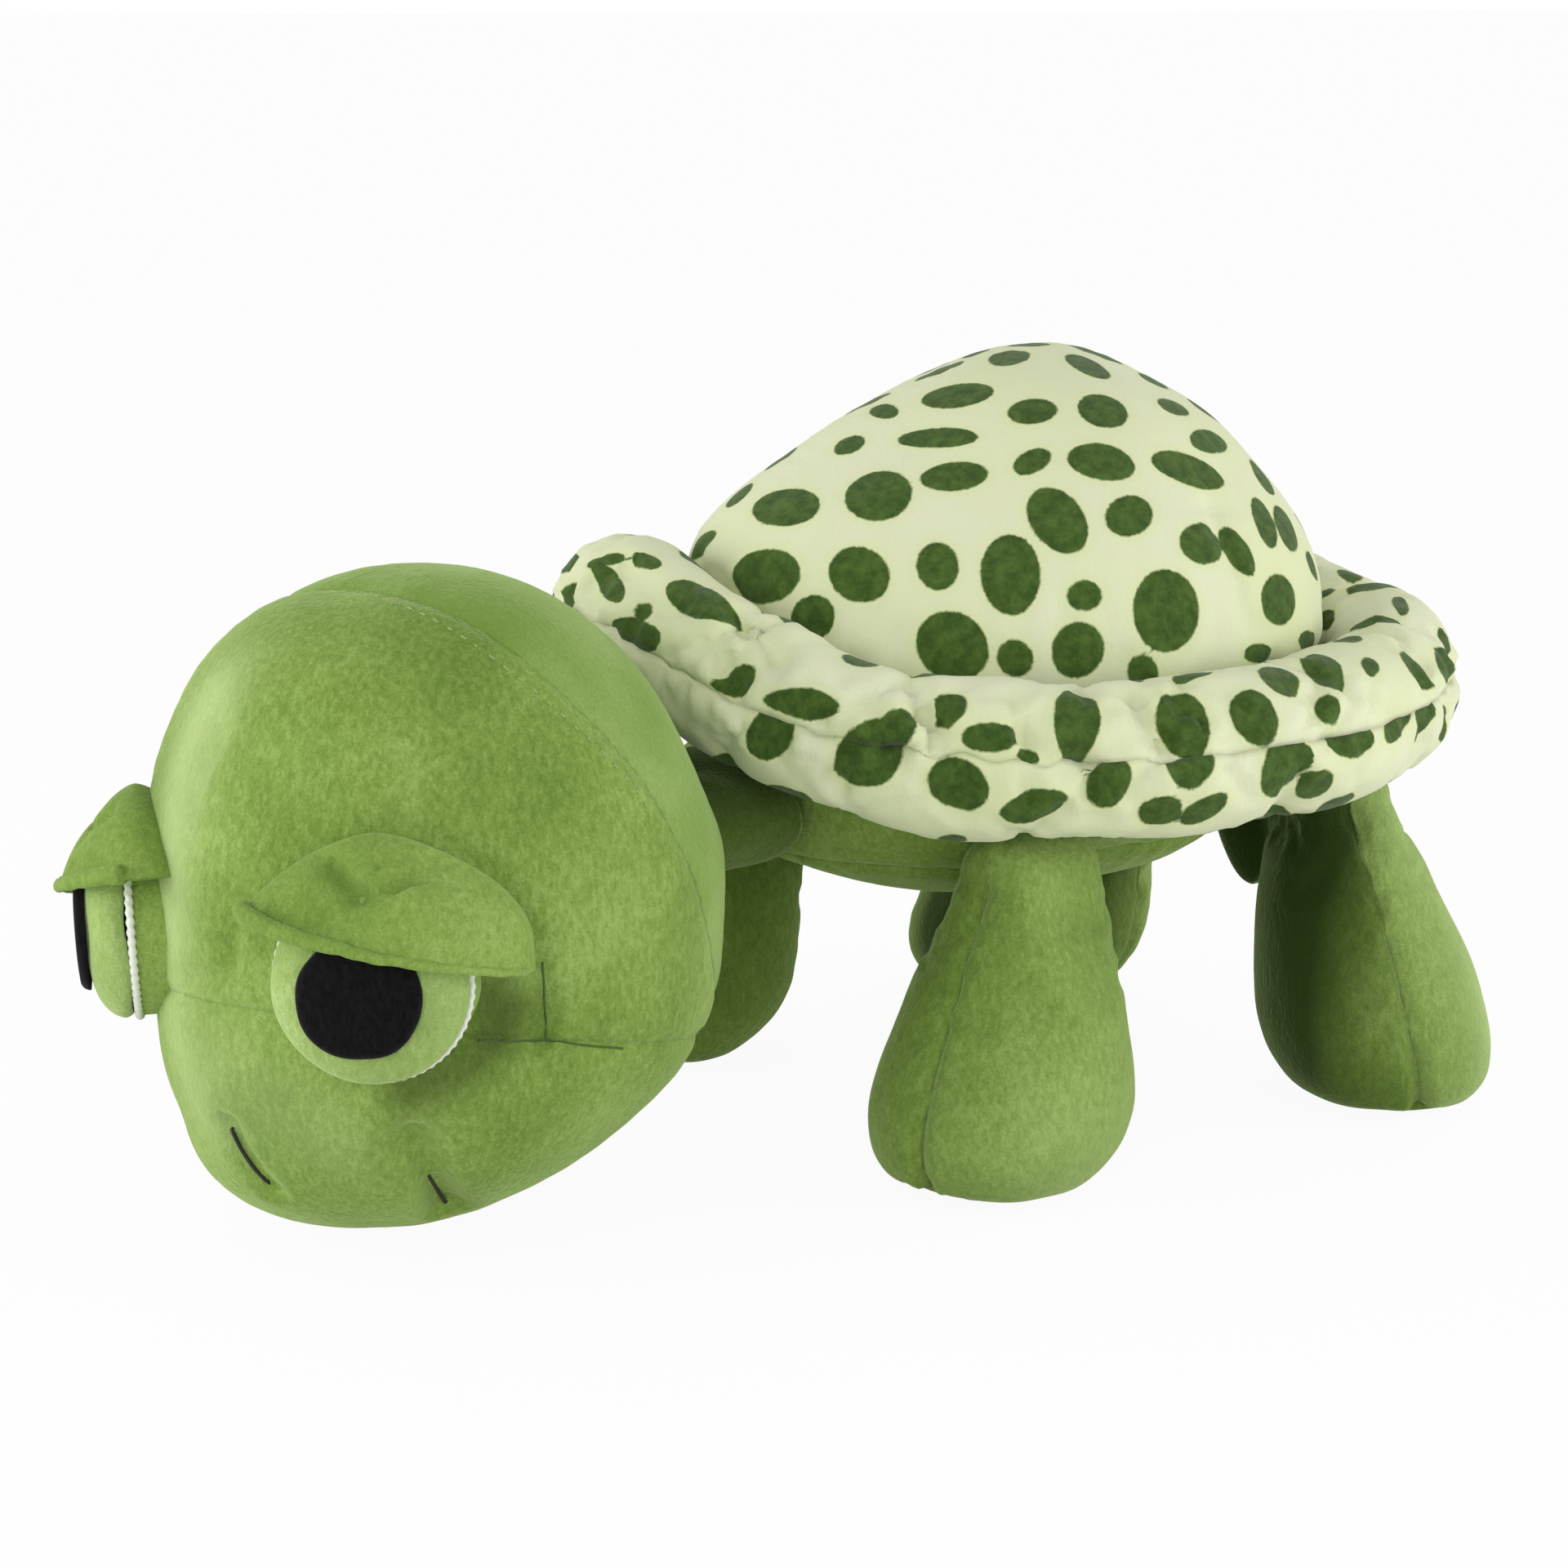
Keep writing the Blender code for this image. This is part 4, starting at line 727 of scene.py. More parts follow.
def minky_plush(name, dark, shade, mid, light, pale, sheen, grain_share):
    """Short-pile polyester minky, knitted and sheared.

    The eye sees a soft streaky grain, drawn coarser than the real 0.5 mm tufts so that
    it shows, a pale bloom where the pile is seen end on, and darker or lighter patches
    at random. Painted shade and painted highlights stored on the cloth darken it or
    lighten it towards its dark and pale colours.
    """
    material, tree, place = new_material(name)
    grain = pile_grain(tree, place, 0.0017)
    fine = add_node(tree, "TexNoise", {"Vector": place, "Scale": 1.0 / 0.0007,
                                       "Detail": 2.0, "Roughness": 0.6}).outputs["Fac"]
    nap_and_painted_light = add_node(tree, "TexNoise", {"Vector": place, "Scale": 1.0 / 0.040,
                                      "Detail": 2.0, "Roughness": 0.5})
    streaks = add_node(tree, "Math", {0: grain, 1: grain_share}, operation="MULTIPLY")
    tufts = add_node(tree, "Math", {0: fine, 1: 0.25, 2: streaks.outputs[0]},
                     operation="MULTIPLY_ADD")
    both = add_node(tree, "Math", {0: nap_and_painted_light.outputs["Fac"], 1: 0.75 - grain_share,
                                   2: tufts.outputs[0]}, operation="MULTIPLY_ADD")
    ramp = add_node(tree, "ValToRGB", {"Fac": both.outputs[0]})
    stops = ramp.color_ramp.elements
    stops[0].position, stops[1].position = 0.38, 0.62
    stops[0].color, stops[1].color = linear(shade), linear(light)
    stops.new(0.50).color = linear(mid)
    # Painted light: a share stored on the cloth lightens it towards the pale colour as a
    # painted highlight, and below 0 darkens it towards the dark colour as painted shade
    painted_light_share = add_node(tree, "Attribute", attribute_name="nap_and_painted_light").outputs["Fac"]
    lighter = add_node(tree, "Mix", {"Factor": painted_light_share, 6: ramp.outputs["Color"],
                                     7: linear(pale)}, data_type="RGBA")
    painted_shade_share = add_node(tree, "Math", {0: painted_light_share, 1: -1.0}, operation="MULTIPLY")
    darker = add_node(tree, "Mix", {"Factor": painted_shade_share.outputs[0], 6: lighter.outputs[2],
                                    7: linear(dark)}, data_type="RGBA")
    height = add_node(tree, "Math", {0: fine, 1: 0.6, 2: grain},
                      operation="MULTIPLY_ADD")
    dress(tree, darker.outputs[2], height.outputs[0], (0.5, 0.0010),
          {"Roughness": 0.95, "Specular IOR Level": 0.12, "Sheen Weight": sheen,
           "Sheen Roughness": 0.35, "Sheen Tint": linear(pale)})
    return material


def printed_plush(name, cream, halo, spot, spot_light):
    """White-based plush with a heat-transfer print.

    The eye sees dense dark spots with slightly furry edges on cream, and a faint
    yellower halo where the dye crept round each spot.
    """
    material, tree, place = new_material(name)
    grain = pile_grain(tree, place, 0.0014)
    edge = add_node(tree, "Attribute", attribute_name="spot_edge")
    fray = add_node(tree, "Math", {0: grain, 1: 1.1, 2: edge.outputs["Fac"]},
                    operation="MULTIPLY_ADD").outputs[0]
    inked = add_node(tree, "MapRange", {"Value": fray, "From Min": 0.25,
                                        "From Max": 0.95, "To Min": 1.0, "To Max": 0.0})
    crept = add_node(tree, "MapRange", {"Value": fray, "From Min": 0.6,
                                        "From Max": 4.2, "To Min": 0.75, "To Max": 0.0})
    wash = add_node(tree, "TexNoise", {"Vector": place, "Scale": 1.0 / 0.045,
                                       "Detail": 1.0})
    mottle = add_node(tree, "TexNoise", {"Vector": place, "Scale": 1.0 / 0.0035,
                                         "Detail": 4.0, "Roughness": 0.7})
    dye = add_node(tree, "MapRange", {"Value": mottle.outputs["Fac"], "From Min": 0.38,
                                      "From Max": 0.66})
    ground = add_node(tree, "Mix", {"Factor": wash.outputs["Fac"], 6: linear(cream),
                                    7: linear(halo)}, data_type="RGBA")
    haloed = add_node(tree, "Mix", {"Factor": crept.outputs[0], 6: ground.outputs[2],
                                    7: linear(halo)}, data_type="RGBA")
    ink = add_node(tree, "Mix", {"Factor": dye.outputs[0], 6: linear(spot),
                                 7: linear(spot_light)}, data_type="RGBA")
    printed = add_node(tree, "Mix", {"Factor": inked.outputs[0], 6: haloed.outputs[2],
                                     7: ink.outputs[2]}, data_type="RGBA")
    dress(tree, printed.outputs[2], grain, (0.35, 0.0007),
          {"Roughness": 0.9, "Specular IOR Level": 0.18, "Sheen Weight": 0.12,
           "Sheen Roughness": 0.45})
    return material


def black_velour(name, deep, lint):
    """Black cotton velour: dense upright pile that drinks light, with fine lint."""
    material, tree, place = new_material(name)
    grain = pile_grain(tree, place, 0.0012)
    ramp = add_node(tree, "ValToRGB", {"Fac": grain})
    stops = ramp.color_ramp.elements
    stops[0].position, stops[1].position = 0.35, 0.72
    stops[0].color, stops[1].color = linear(deep), linear(lint)
    dress(tree, ramp.outputs["Color"], grain, (0.5, 0.0006),
          {"Roughness": 0.95, "Specular IOR Level": 0.1, "Sheen Weight": 0.05})
    return material


def satin_thread(name, colour, roughness):
    """Mercerised embroidery thread: fine plies that catch a narrow highlight."""
    material, tree, place = new_material(name)
    plies = add_node(tree, "TexNoise", {"Vector": place, "Scale": 1.0 / 0.0006,
                                        "Detail": 2.0}).outputs["Fac"]
    ramp = add_node(tree, "ValToRGB", {"Fac": plies})
    ramp.color_ramp.elements[0].color = linear(colour, 0.72)
    ramp.color_ramp.elements[1].color = linear(colour)
    dress(tree, ramp.outputs["Color"], plies, (0.4, 0.0003), {"Roughness": roughness})
    return material


# Each finish, how it is made and its colours; the minkies end with their sheen and
# the share of the grain in their pattern, and the threads with their roughness
# A minky's first colour is its painted shade and its last, pale one its painted
# highlight, which also tints its sheen
FINISHES = {
    "leaf_minky": (minky_plush, "#2E4017", "#648035", "#7A9544", "#91AB5D", "#C2D698",
                   0.80, 0.36),
    "crown_minky": (minky_plush, "#2E4017", "#72903F", "#819D51", "#92AB63", "#BCD094",
                    0.70, 0.15),
    "lid_minky": (minky_plush, "#2E4017", "#6B883B", "#7F9A48", "#95AF60", "#BBCF8F",
                  0.50, 0.30),
    "eye_minky": (minky_plush, "#4F682A", "#86A054", "#97B066", "#ADC580", "#CDDFAA",
                  0.80, 0.30),
    "printed_minky": (printed_plush, "#DDDEC5", "#D2DBA8", "#354D1B", "#4D672A"),
    "pupil_velour": (black_velour, "#060607", "#151517"),
    "white_satin_thread": (satin_thread, "#F2F5EA", 0.35),
    "black_cotton_thread": (satin_thread, "#141414", 0.6),
    "moss_cotton_thread": (satin_thread, "#48612A", 0.8),
    "pale_cotton_thread": (satin_thread, "#9BB46C", 0.8),
}


def finish_for(name):
    """Each finish is made once and shared by the pieces cut from it."""
    maker, *values = FINISHES[name]
    return bpy.data.materials.get(name) or maker(name, *values)


def new_piece(name, shape, finish, thickness=0.0):
    """One named piece of the toy, with its finish in a material slot."""
    mesh = bpy.data.meshes.new(name)
    vertices, faces = shape
    mesh.from_pydata([tuple(vertex) for vertex in vertices], [], faces)
    mesh.shade_smooth()
    mesh.materials.append(finish_for(finish))
    piece = bpy.data.objects.new(name, mesh)
    bpy.context.scene.collection.objects.link(piece)
    if thickness:
        skin = piece.modifiers.new("cloth_thickness", "SOLIDIFY")
        skin.thickness = thickness
        skin.offset = -1.0
    return piece


def sew_on(piece, body, *nodes, fill=None):
    """Hang a piece on the body that carries it and hide the nodes it stands for; fill is
    not used.
    """
    if nodes:
        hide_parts(*nodes)
    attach(piece, body)


def cut_off(piece, place, way, fill=False):
    """Cut away what lies ahead of a plane, and cap the cut if asked."""
    shape = bmesh.new()
    shape.from_mesh(piece.data)
    result = bmesh.ops.bisect_plane(
        shape, geom=shape.verts[:] + shape.edges[:] + shape.faces[:],
        plane_co=Vector(place), plane_no=Vector(way), clear_outer=True)
    if fill:
        edges = [item for item in result["geom_cut"]
                 if isinstance(item, bmesh.types.BMEdge)]
        bmesh.ops.holes_fill(shape, edges=edges, sides=0)
    shape.to_mesh(piece.data)
    shape.free()
    return piece


def tube(path, radius, sides, closed=False, twist=0.0, lobes=0):
    """Thread or piping along a path, with plies if it is twisted."""
    path = np.asarray(path, float)
    ways = np.gradient(path, axis=0)
    if closed:
        ways = np.roll(path, -1, axis=0) - np.roll(path, 1, axis=0)
    ways = unit(ways)
    first = unit(np.cross(ways, path - path.mean(axis=0)))
    second = np.cross(ways, first)
    travelled = path_lengths(path)
    radii = np.broadcast_to(radius, len(path))
    angles = around(sides)
    rings = []
    for step, point in enumerate(path):
        reach = radii[step] * np.ones(sides)
        if lobes:
            reach = reach * (1.0 + 0.22 * np.cos(lobes * angles
                                                 + twist * travelled[step]))
        rings.append(point + reach[:, None] * ring(angles, first[step], second[step]))
    if not closed:
        rings.insert(0, np.repeat(path[:1], sides, axis=0))
        rings.append(np.repeat(path[-1:], sides, axis=0))
    return patch(np.array(rings), closed)


def lay_stitches(name, form, paths, finish, dash=0.0, gap=0.0):
    """Sewing thread half sunk in the head's cloth, whole or in dashes."""
    tree = form.tree()
    vertices, faces = [], []
    for path in paths:
        laid = []
        for point in path:
            place, normal, _, _ = tree.find_nearest(Vector(point))
            laid.append(np.array(place) + np.array(normal) * STITCH_RADIUS * 0.3)
        laid = np.array(laid)
        travelled = path_lengths(laid)
        starts = np.arange(0.0, travelled[-1] - dash, dash + gap) if dash else [0.0]
        for start in starts:
            run = np.linspace(start, start + dash if dash else travelled[-1],
                              5 if dash else len(laid))
            piece = np.stack([np.interp(run, travelled, laid[:, axis])
                              for axis in range(3)], -1)
            more, corners = tube(piece, STITCH_RADIUS, 6)
            faces.extend(tuple(corner + len(vertices) for corner in face)
                         for face in corners)
            vertices.extend(more)
    sew_on(new_piece(name, (vertices, faces), finish), "head")


def turned(profile, centre, way, columns, wobble=0.0, seed=3):
    """Grid of a form turned about an axis, from reach and height pairs."""
    way = unit(np.asarray(way, float))
    first = unit(np.cross(way, UP))
    angles = around(columns)
    uneven = np.ones(columns)
    if wobble:
        random = np.random.default_rng(seed)
        for count in range(2, 9):
            uneven += wobble / count * np.cos(count * angles
                                              + random.uniform(0, math.tau))
    section = uneven[:, None] * ring(angles, first, -np.cross(first, way))
    return np.array([centre + way * height + reach * section
                     for reach, height in profile])


# Printed spots

def spots_from_pixels(tree, spots):
    """Printed spots laid on the cloth: their centres and their two half axes."""
    laid = []
    for x, y, half_long, half_short, tilt in spots:
        centre, normal = cast(tree, (x, y))
        if centre is None:
            continue
        facing = -(photo_way((x, y)) @ normal)
        longest = SPOT_LONGEST * min(max(2.0 * facing, 0.62), 1.0)
        axes = []
        for reach, turn in ((half_long, tilt), (half_short, tilt + 90)):
            angle = math.radians(turn)
            way = photo_way((x + reach * math.cos(angle), y + reach * math.sin(angle)))
            run = (centre - CAMERA_PLACE) @ normal / min(way @ normal, -0.12)
            axis = CAMERA_PLACE + way * run - centre
            axes.append(axis * min(1.0, longest / np.linalg.norm(axis)))
        laid.append((centre, *axes))
    return laid


def spot_distance(points, spots):
    """Signed distance in millimetres from each point to the nearest spot's edge."""
    flat = points.reshape(-1, 3)
    nearest = np.full(len(flat), 50.0)
    for centre, long_axis, short_axis in spots:
        frame_axes = np.stack([long_axis, short_axis], 1)
        arms = flat - centre
        close = np.linalg.norm(arms, axis=1) < 0.030
        inside = np.linalg.pinv(frame_axes) @ arms[close].T
        off_plane = arms[close] - (frame_axes @ inside).T
        reach = np.linalg.norm(inside, axis=0)
        size = np.linalg.norm((frame_axes @ (inside / np.maximum(reach, 1e-6))), axis=0)
        gap = (reach - 1.0) * size * 1000 + np.linalg.norm(off_plane, axis=1) * 250
        nearest[close] = np.minimum(nearest[close], gap)
    return nearest.reshape(points.shape[:-1])


def fill_spots(form, spots, seed, seen_from=None):
    """More spots of the same sizes and spacing wherever the print has room."""
    random = np.random.default_rng(seed)
    normals = form.normals().reshape(-1, 3)
    flat = form.points.reshape(-1, 3)
    order = random.permutation(len(flat))
    centres = [spot[0] for spot in spots]
    reaches = [max(np.linalg.norm(spot[1]), np.linalg.norm(spot[2])) for spot in spots]
    for number in order[:6000]:
        place = flat[number]
        sight = unit(CAMERA_PLACE - place)
        if seen_from is not None and normals[number] @ sight > seen_from:
            continue
        long_reach = random.uniform(0.0050, 0.0100)
        gaps = np.linalg.norm(np.array(centres) - place, axis=1) - np.array(reaches)
        if gaps.min() < long_reach + 0.0026:
            continue
        side = unit(np.cross(normals[number], random.normal(size=3)))
        other = np.cross(normals[number], side)
        spots.append((place, side * long_reach,
                      other * long_reach * random.uniform(0.55, 0.85)))
        centres.append(place)
        reaches.append(long_reach)
    return spots


def cloth_points(piece):
    """Places of the cloth's own points."""
    points = np.empty(len(piece.data.vertices) * 3)
    piece.data.vertices.foreach_get("co", points)
    return points.reshape(-1, 3)


def store(piece, name, values):
    """Store a value on each point of the cloth, for its finish to read."""
    attribute = piece.data.attributes.new(name, "FLOAT", "POINT")
    attribute.data.foreach_set("value", values.astype(np.float32))


def print_spots(piece, spots):
    """Store the distance to the nearest spot's edge."""
    store(piece, "spot_edge", spot_distance(cloth_points(piece), spots))


def paint_light_and_shade(piece, strokes):
    """Store painted light on each point of the cloth: 1 paints a pale highlight and -1
    paints dark shade.
    """
    points = cloth_points(piece)
    values = np.zeros(len(points))
    for path, width, strength in strokes:
        values += strength * np.exp(-(nearest_on(points, path)[0] / width) ** 2)
    store(piece, "nap_and_painted_light", np.clip(values, -1.0, 1.0))


# Forms of the toy

def torso_surface(positions, columns=200):
    height, half_width, front, rear = through(TORSO_RING_SHARES, positions).T
    azimuths = around(columns)
    reach = girth(azimuths, TORSO_SQUARENESS)
    front = front * TORSO_FRONT_REACH
    rear = rear * TORSO_REAR_REACH
    x = np.outer(half_width * TORSO_HALF_WIDTH, np.sin(azimuths) * reach)
    y = ((rear - front) / 2)[:, None] - np.outer((rear + front) / 2,
                                                  np.cos(azimuths) * reach)
    z = np.repeat((TORSO_TOP - TORSO_DEPTH + height * TORSO_DEPTH)[:, None], columns, 1)
    return np.stack([x, y, z], -1) + TORSO_MIDDLE


def rim_frame(azimuths):
    """Centre line of the rim and its outward direction at each azimuth."""
    ahead = np.cos(azimuths)
    crest = np.cos(azimuths - RIM_CREST_AZIMUTH).clip(0.0) ** RIM_CREST_POWER
    rump = (-ahead).clip(0.0) ** RIM_REAR_POWER
    rise = (RIM_SIDE_RISE + (RIM_FRONT_RISE - RIM_SIDE_RISE) * crest
            + (RIM_REAR_RISE - RIM_SIDE_RISE) * rump)
    centre = np.stack([RIM_PATH_HALF_WIDTH * np.sin(azimuths),
                       -RIM_PATH_HALF_LENGTH * ahead, TORSO_TOP + rise], -1)
    outward = unit(np.stack([RIM_PATH_HALF_LENGTH * np.sin(azimuths),
                             -RIM_PATH_HALF_WIDTH * ahead, 0 * ahead], -1))
    return centre + SHELL_MIDDLE, outward


def rim_form(rows=72, columns=380):
    azimuths = around(columns)
    centre, outward = rim_frame(azimuths)
    grid = []
    for turn in RIM_SEAM_TILT + around(rows):
        grid.append(centre + RIM_ROLL_RADIUS * (math.cos(turn) * outward
                                                + math.sin(turn) * UP))
    return Form(np.array(grid), rolled=True)


def dome_surface(shares, columns=300):
    azimuths = around(columns)
    seat, outward = rim_frame(azimuths)
    base = (seat - outward * RIM_ROLL_RADIUS * math.cos(DOME_SEAT_TILT) * 0.93
            + UP * RIM_ROLL_RADIUS * math.sin(DOME_SEAT_TILT))
    peak = np.array([0.0, TORSO_MIDDLE[1] + DOME_PEAK_SETBACK, DOME_HIGH[2]])
    ahead = np.cos(azimuths)
    fullness = DOME_FULLNESS - np.where(ahead > 0.0, DOME_FRONT_SLOPE,
                                        DOME_REAR_SLOPE) * ahead
    angles = np.asarray(shares)[:, None] * math.pi / 2
    reach = np.cos(angles).clip(0.0) ** (2.0 / fullness)
    rise = np.sin(angles).clip(0.0) ** (2.0 / fullness)
    points = peak + (base - peak)[None] * reach[..., None]
    points[..., 2] = base[:, 2] + (peak[2] - base[:, 2]) * rise
    swell = 0.0022 * np.sin(math.pi * np.minimum(np.asarray(shares) * 2.2, 1.0))
    return points + outward[None] * swell[:, None, None]


def head_surface(positions, columns=260):
    height, half_width, front, back = through(HEAD_RING_SHARES, positions).T
    front = front * HEAD_FRONT_REACH
    back = back * HEAD_BACK_REACH
    lean = np.maximum(1.0 - height / CHIN_LEAN_RISE_SHARE, 0.0) ** 2
    azimuths = around(columns)
    x = np.outer(half_width * HEAD_HALF_WIDTH, np.sin(azimuths)) \
        - (CHIN_LEAN * lean)[:, None]
    y = ((back - front) / 2)[:, None] - np.outer((back + front) / 2, np.cos(azimuths))
    z = np.repeat((CHIN_HEIGHT + height * HEAD_HEIGHT)[:, None], columns, 1)
    return head_place(np.stack([x, y, z], -1))


def limb_surface(limb, shares, columns):
    """Surface function of a limb that hangs from a blunt top turned on its hinge."""
    hinge, pivot, foot = limb["hinge"], limb["pivot"], limb["foot"]
    across = np.cross(UP, hinge)
    half_width, half_thickness = limb["halves"]
    top_half_length, top_radius = limb["top"]
    top_ring = (1.0, top_half_length / half_width, top_radius / half_thickness, 1.0)
    rings = tuple(shares) + (top_ring, top_ring)
    last = float(len(shares))
    angles = around(columns)
    along, beside = np.cos(angles) ** 2, np.sin(angles) ** 2
    total = along ** 2 + beside ** 2

    def surface(positions):
        rise, width, thickness, step = through(rings, np.minimum(positions, last)).T
        squareness = LIMB_SQUARENESS + (LIMB_TOP_SQUARENESS
                                        - LIMB_SQUARENESS) * np.clip(step, 0.0, 1.0)
        grid = []
        for row, position in enumerate(positions):
            tilt = math.pi / 2 * max(position - last, 0.0)
            if tilt <= 0.0:
                section = ring(angles, hinge * width[row] * half_width,
                               across * thickness[row] * half_thickness)
                grid.append(foot + (pivot - foot) * rise[row]
                            + girth(angles, squareness[row])[:, None] * section)
                continue
            level = math.sin(tilt) ** 2
            square = (np.sqrt((beside * level) ** 2 + total * (1.0 - level ** 2))
                      - beside * level) / total
            grid.append(pivot + UP * top_radius * math.sin(tilt)
                        + np.sqrt(np.maximum(square, 0.0))[:, None]
                        * ring(angles, hinge * top_half_length, across * top_radius))
        return np.array(grid)

    return surface, last


def ring_path(form, row):
    """A row of a form as a path that closes."""
    return np.concatenate([form.points[row], form.points[row, :1]])


def row_at(positions, place):
    """The row whose ring position is nearest to a place."""
    return int(np.argmin(np.abs(positions - place)))


# The steps that build it

def build_torso(sizes):
    """Belly and side panels with a sunk seam, and the flat panel under the shell."""
    positions = even_positions(torso_surface, len(TORSO_RING_SHARES) - 1, 84,
                               (BELLY_SEAM_RING, BACK_SEAM_RING))
    form = Form(torso_surface(positions))
    belly_row = row_at(positions, BELLY_SEAM_RING)
    back_row = row_at(positions, BACK_SEAM_RING)
    form.held[[belly_row, back_row]] = 1.0
    fill_out(form, *FILLINGS["torso"])
    form.push(lumps(form.points, *LUMPS["torso"]))
    form.sew(ring_path(form, belly_row), sizes.seam_depth, sizes.seam_width,
             sizes.gather, 0.012, 12)
    panels = ((0, belly_row, "torso_belly", ("torso_belly_panel",)),
              (belly_row, back_row, "torso_side",
               ("torso_side_panel", "torso_stuffing")),
              (back_row, len(positions) - 1, "torso_back", ("torso_back_panel",)))
    for low, high, name, nodes in panels:
        piece = new_piece(name, patch(form.points[low:high + 1]), "leaf_minky",
                          sizes.skin_thickness)
        sew_on(piece, "torso", *nodes, fill=0.85)


def build_rim(sizes):
    """The stuffed roll: an upper and a lower strip gathered on the outer seam."""
    form = rim_form()
    rows, columns = form.points.shape[:2]
    half = rows // 2
    form.held[[0, half]] = 1.0
    fill_out(form, *FILLINGS["rim"])
    form.push(lumps(form.points, *LUMPS["rim"]) + lumps(form.points, *LUMPS["rim_fine"]))
    tree = form.tree()
    for number, (pixels, depth, width) in enumerate(RIM_CREASE_PIXELS):
        path = cast_path(tree, pixels)
        form.sew(path, depth * -0.35, width * 2.4)
        form.sew(path, depth * 1.35, width, 0.0006, 0.010, 30 + number)
    random = np.random.default_rng(25)

    def drifting(column, chosen, most):
        """Path over some rows that drifts sideways by chance."""
        drift = (chosen * random.uniform(-most, most)).astype(int)
        return form.points[chosen, (column + drift) % columns]

    # Creases round the sides that the photograph doesn't show
    for number in range(9):
        azimuth = math.radians(140.0 + 25.0 * number + random.uniform(-6, 6))
        path = drifting(row_at(around(columns), azimuth % math.tau),
                        np.arange(2, half // 2 + 4), 0.25)
        form.sew(path, random.uniform(0.0012, 0.0032), 0.0045, 0.0005, 0.010,
                 50 + number)
    for number in range(RIM_PUCKERS):
        column = int((number + random.uniform(-0.3, 0.3)) * columns / RIM_PUCKERS)
        reach = random.integers(3, 9, size=2)
        path = drifting(column, np.arange(half - reach[0], half + reach[1]), 0.3)
        form.sew(path, random.uniform(0.0004, 0.0013), 0.0028)
    form.sew(ring_path(form, 0), sizes.seam_depth * 1.2, sizes.seam_width,
             sizes.gather * 1.6, 0.010, 23)
    form.sew(ring_path(form, half), sizes.seam_depth, sizes.seam_width * 0.8,
             sizes.gather, 0.012, 24)
    tree = form.tree()
    strips = (("rim_upper", ("rim_upper_strip", "rim_stuffing"), RIM_UPPER_SPOT_PIXELS,
               range(0, half + 1), 61),
              ("rim_lower", ("rim_lower_strip",), RIM_LOWER_SPOT_PIXELS,
               range(half, rows + 1), 62))
    for name, nodes, seen, chosen, seed in strips:
        points = form.points[[row % rows for row in chosen]]
        spots = fill_spots(Form(points), spots_from_pixels(tree, seen), seed, 0.20)
        piece = new_piece(name, patch(points), "printed_minky",
                          sizes.skin_thickness)
        print_spots(piece, spots)
        sew_on(piece, "torso", *nodes, fill=0.7)


def build_dome(sizes):
    """Peaked dome with a sewn dart at the rear left and a gathered base."""
    positions = even_positions(lambda shares: dome_surface(shares / 10.0), 10, 84)
    form = Form(dome_surface(positions / 10.0))
    dart = cast_path(form.tree(), DART_SEAM_PIXELS)
    form.held[0] = 1.0
    form.hold(dart, 0.003)
    fill_out(form, *FILLINGS["dome"])
    form.push(lumps(form.points, *LUMPS["dome"]))
    form.sew(dart, sizes.seam_depth * 1.3, sizes.seam_width, 0.0008, 0.012, 42)
    form.sew(ring_path(form, 1), 0.0012, 0.004, 0.0008, 0.014, 43)
    spots = spots_from_pixels(form.tree(), DOME_SPOT_PIXELS)
    piece = new_piece("dome", patch(form.points), "printed_minky",
                      sizes.skin_thickness)
    print_spots(piece, fill_spots(form, spots, 44, 0.18))
    sew_on(piece, "torso", "shell_dome", "shell_stuffing", fill=0.9)


def head_form(sizes):
    """The head's whole skin with its seams, creases and mouth dimples sunk in."""
    positions = even_positions(head_surface, len(HEAD_RING_SHARES) - 1, 150)
    form = Form(head_surface(positions))
    for point, normal in HEAD_SEAMS:
        gap = (head_local(form.points) - np.array(point)) @ unit(np.array(normal))
        form.held = np.maximum(form.held, np.exp(-(gap / 0.0025) ** 2))
    for pixels, _, width in MOUTH_DIMPLE_PIXELS:
        form.hold(cast_path(form.tree(), pixels), width)
    fill_out(form, *FILLINGS["head"])
    form.push(lumps(form.points, *LUMPS["head"]))
    tree = form.tree()
    local = head_local(form.points)
    for point, normal in HEAD_SEAMS:
        gap = (local - np.array(point)) @ unit(np.array(normal))
        groove = np.exp(-(gap / (sizes.seam_width * 0.7)) ** 2)
        form.push(-sizes.seam_depth * 0.55 * groove)
    for pixels, depth, width in HEAD_CREASE_PIXELS:
        form.sew(cast_path(tree, pixels), depth, width)
    for pixels, depth, width in SOCKET_CREASE_PIXELS:
        path = cast_path(tree, pixels)
        form.sew(path, depth, width)
        form.sew(mirrored(path), depth, width)
    for pixels, depth, width in MOUTH_DIMPLE_PIXELS:
        path = cast_path(tree, pixels)
        form.sew(path, -depth * 0.45, width * 2.4)
        form.sew(path, depth * 1.45, width)
    return form


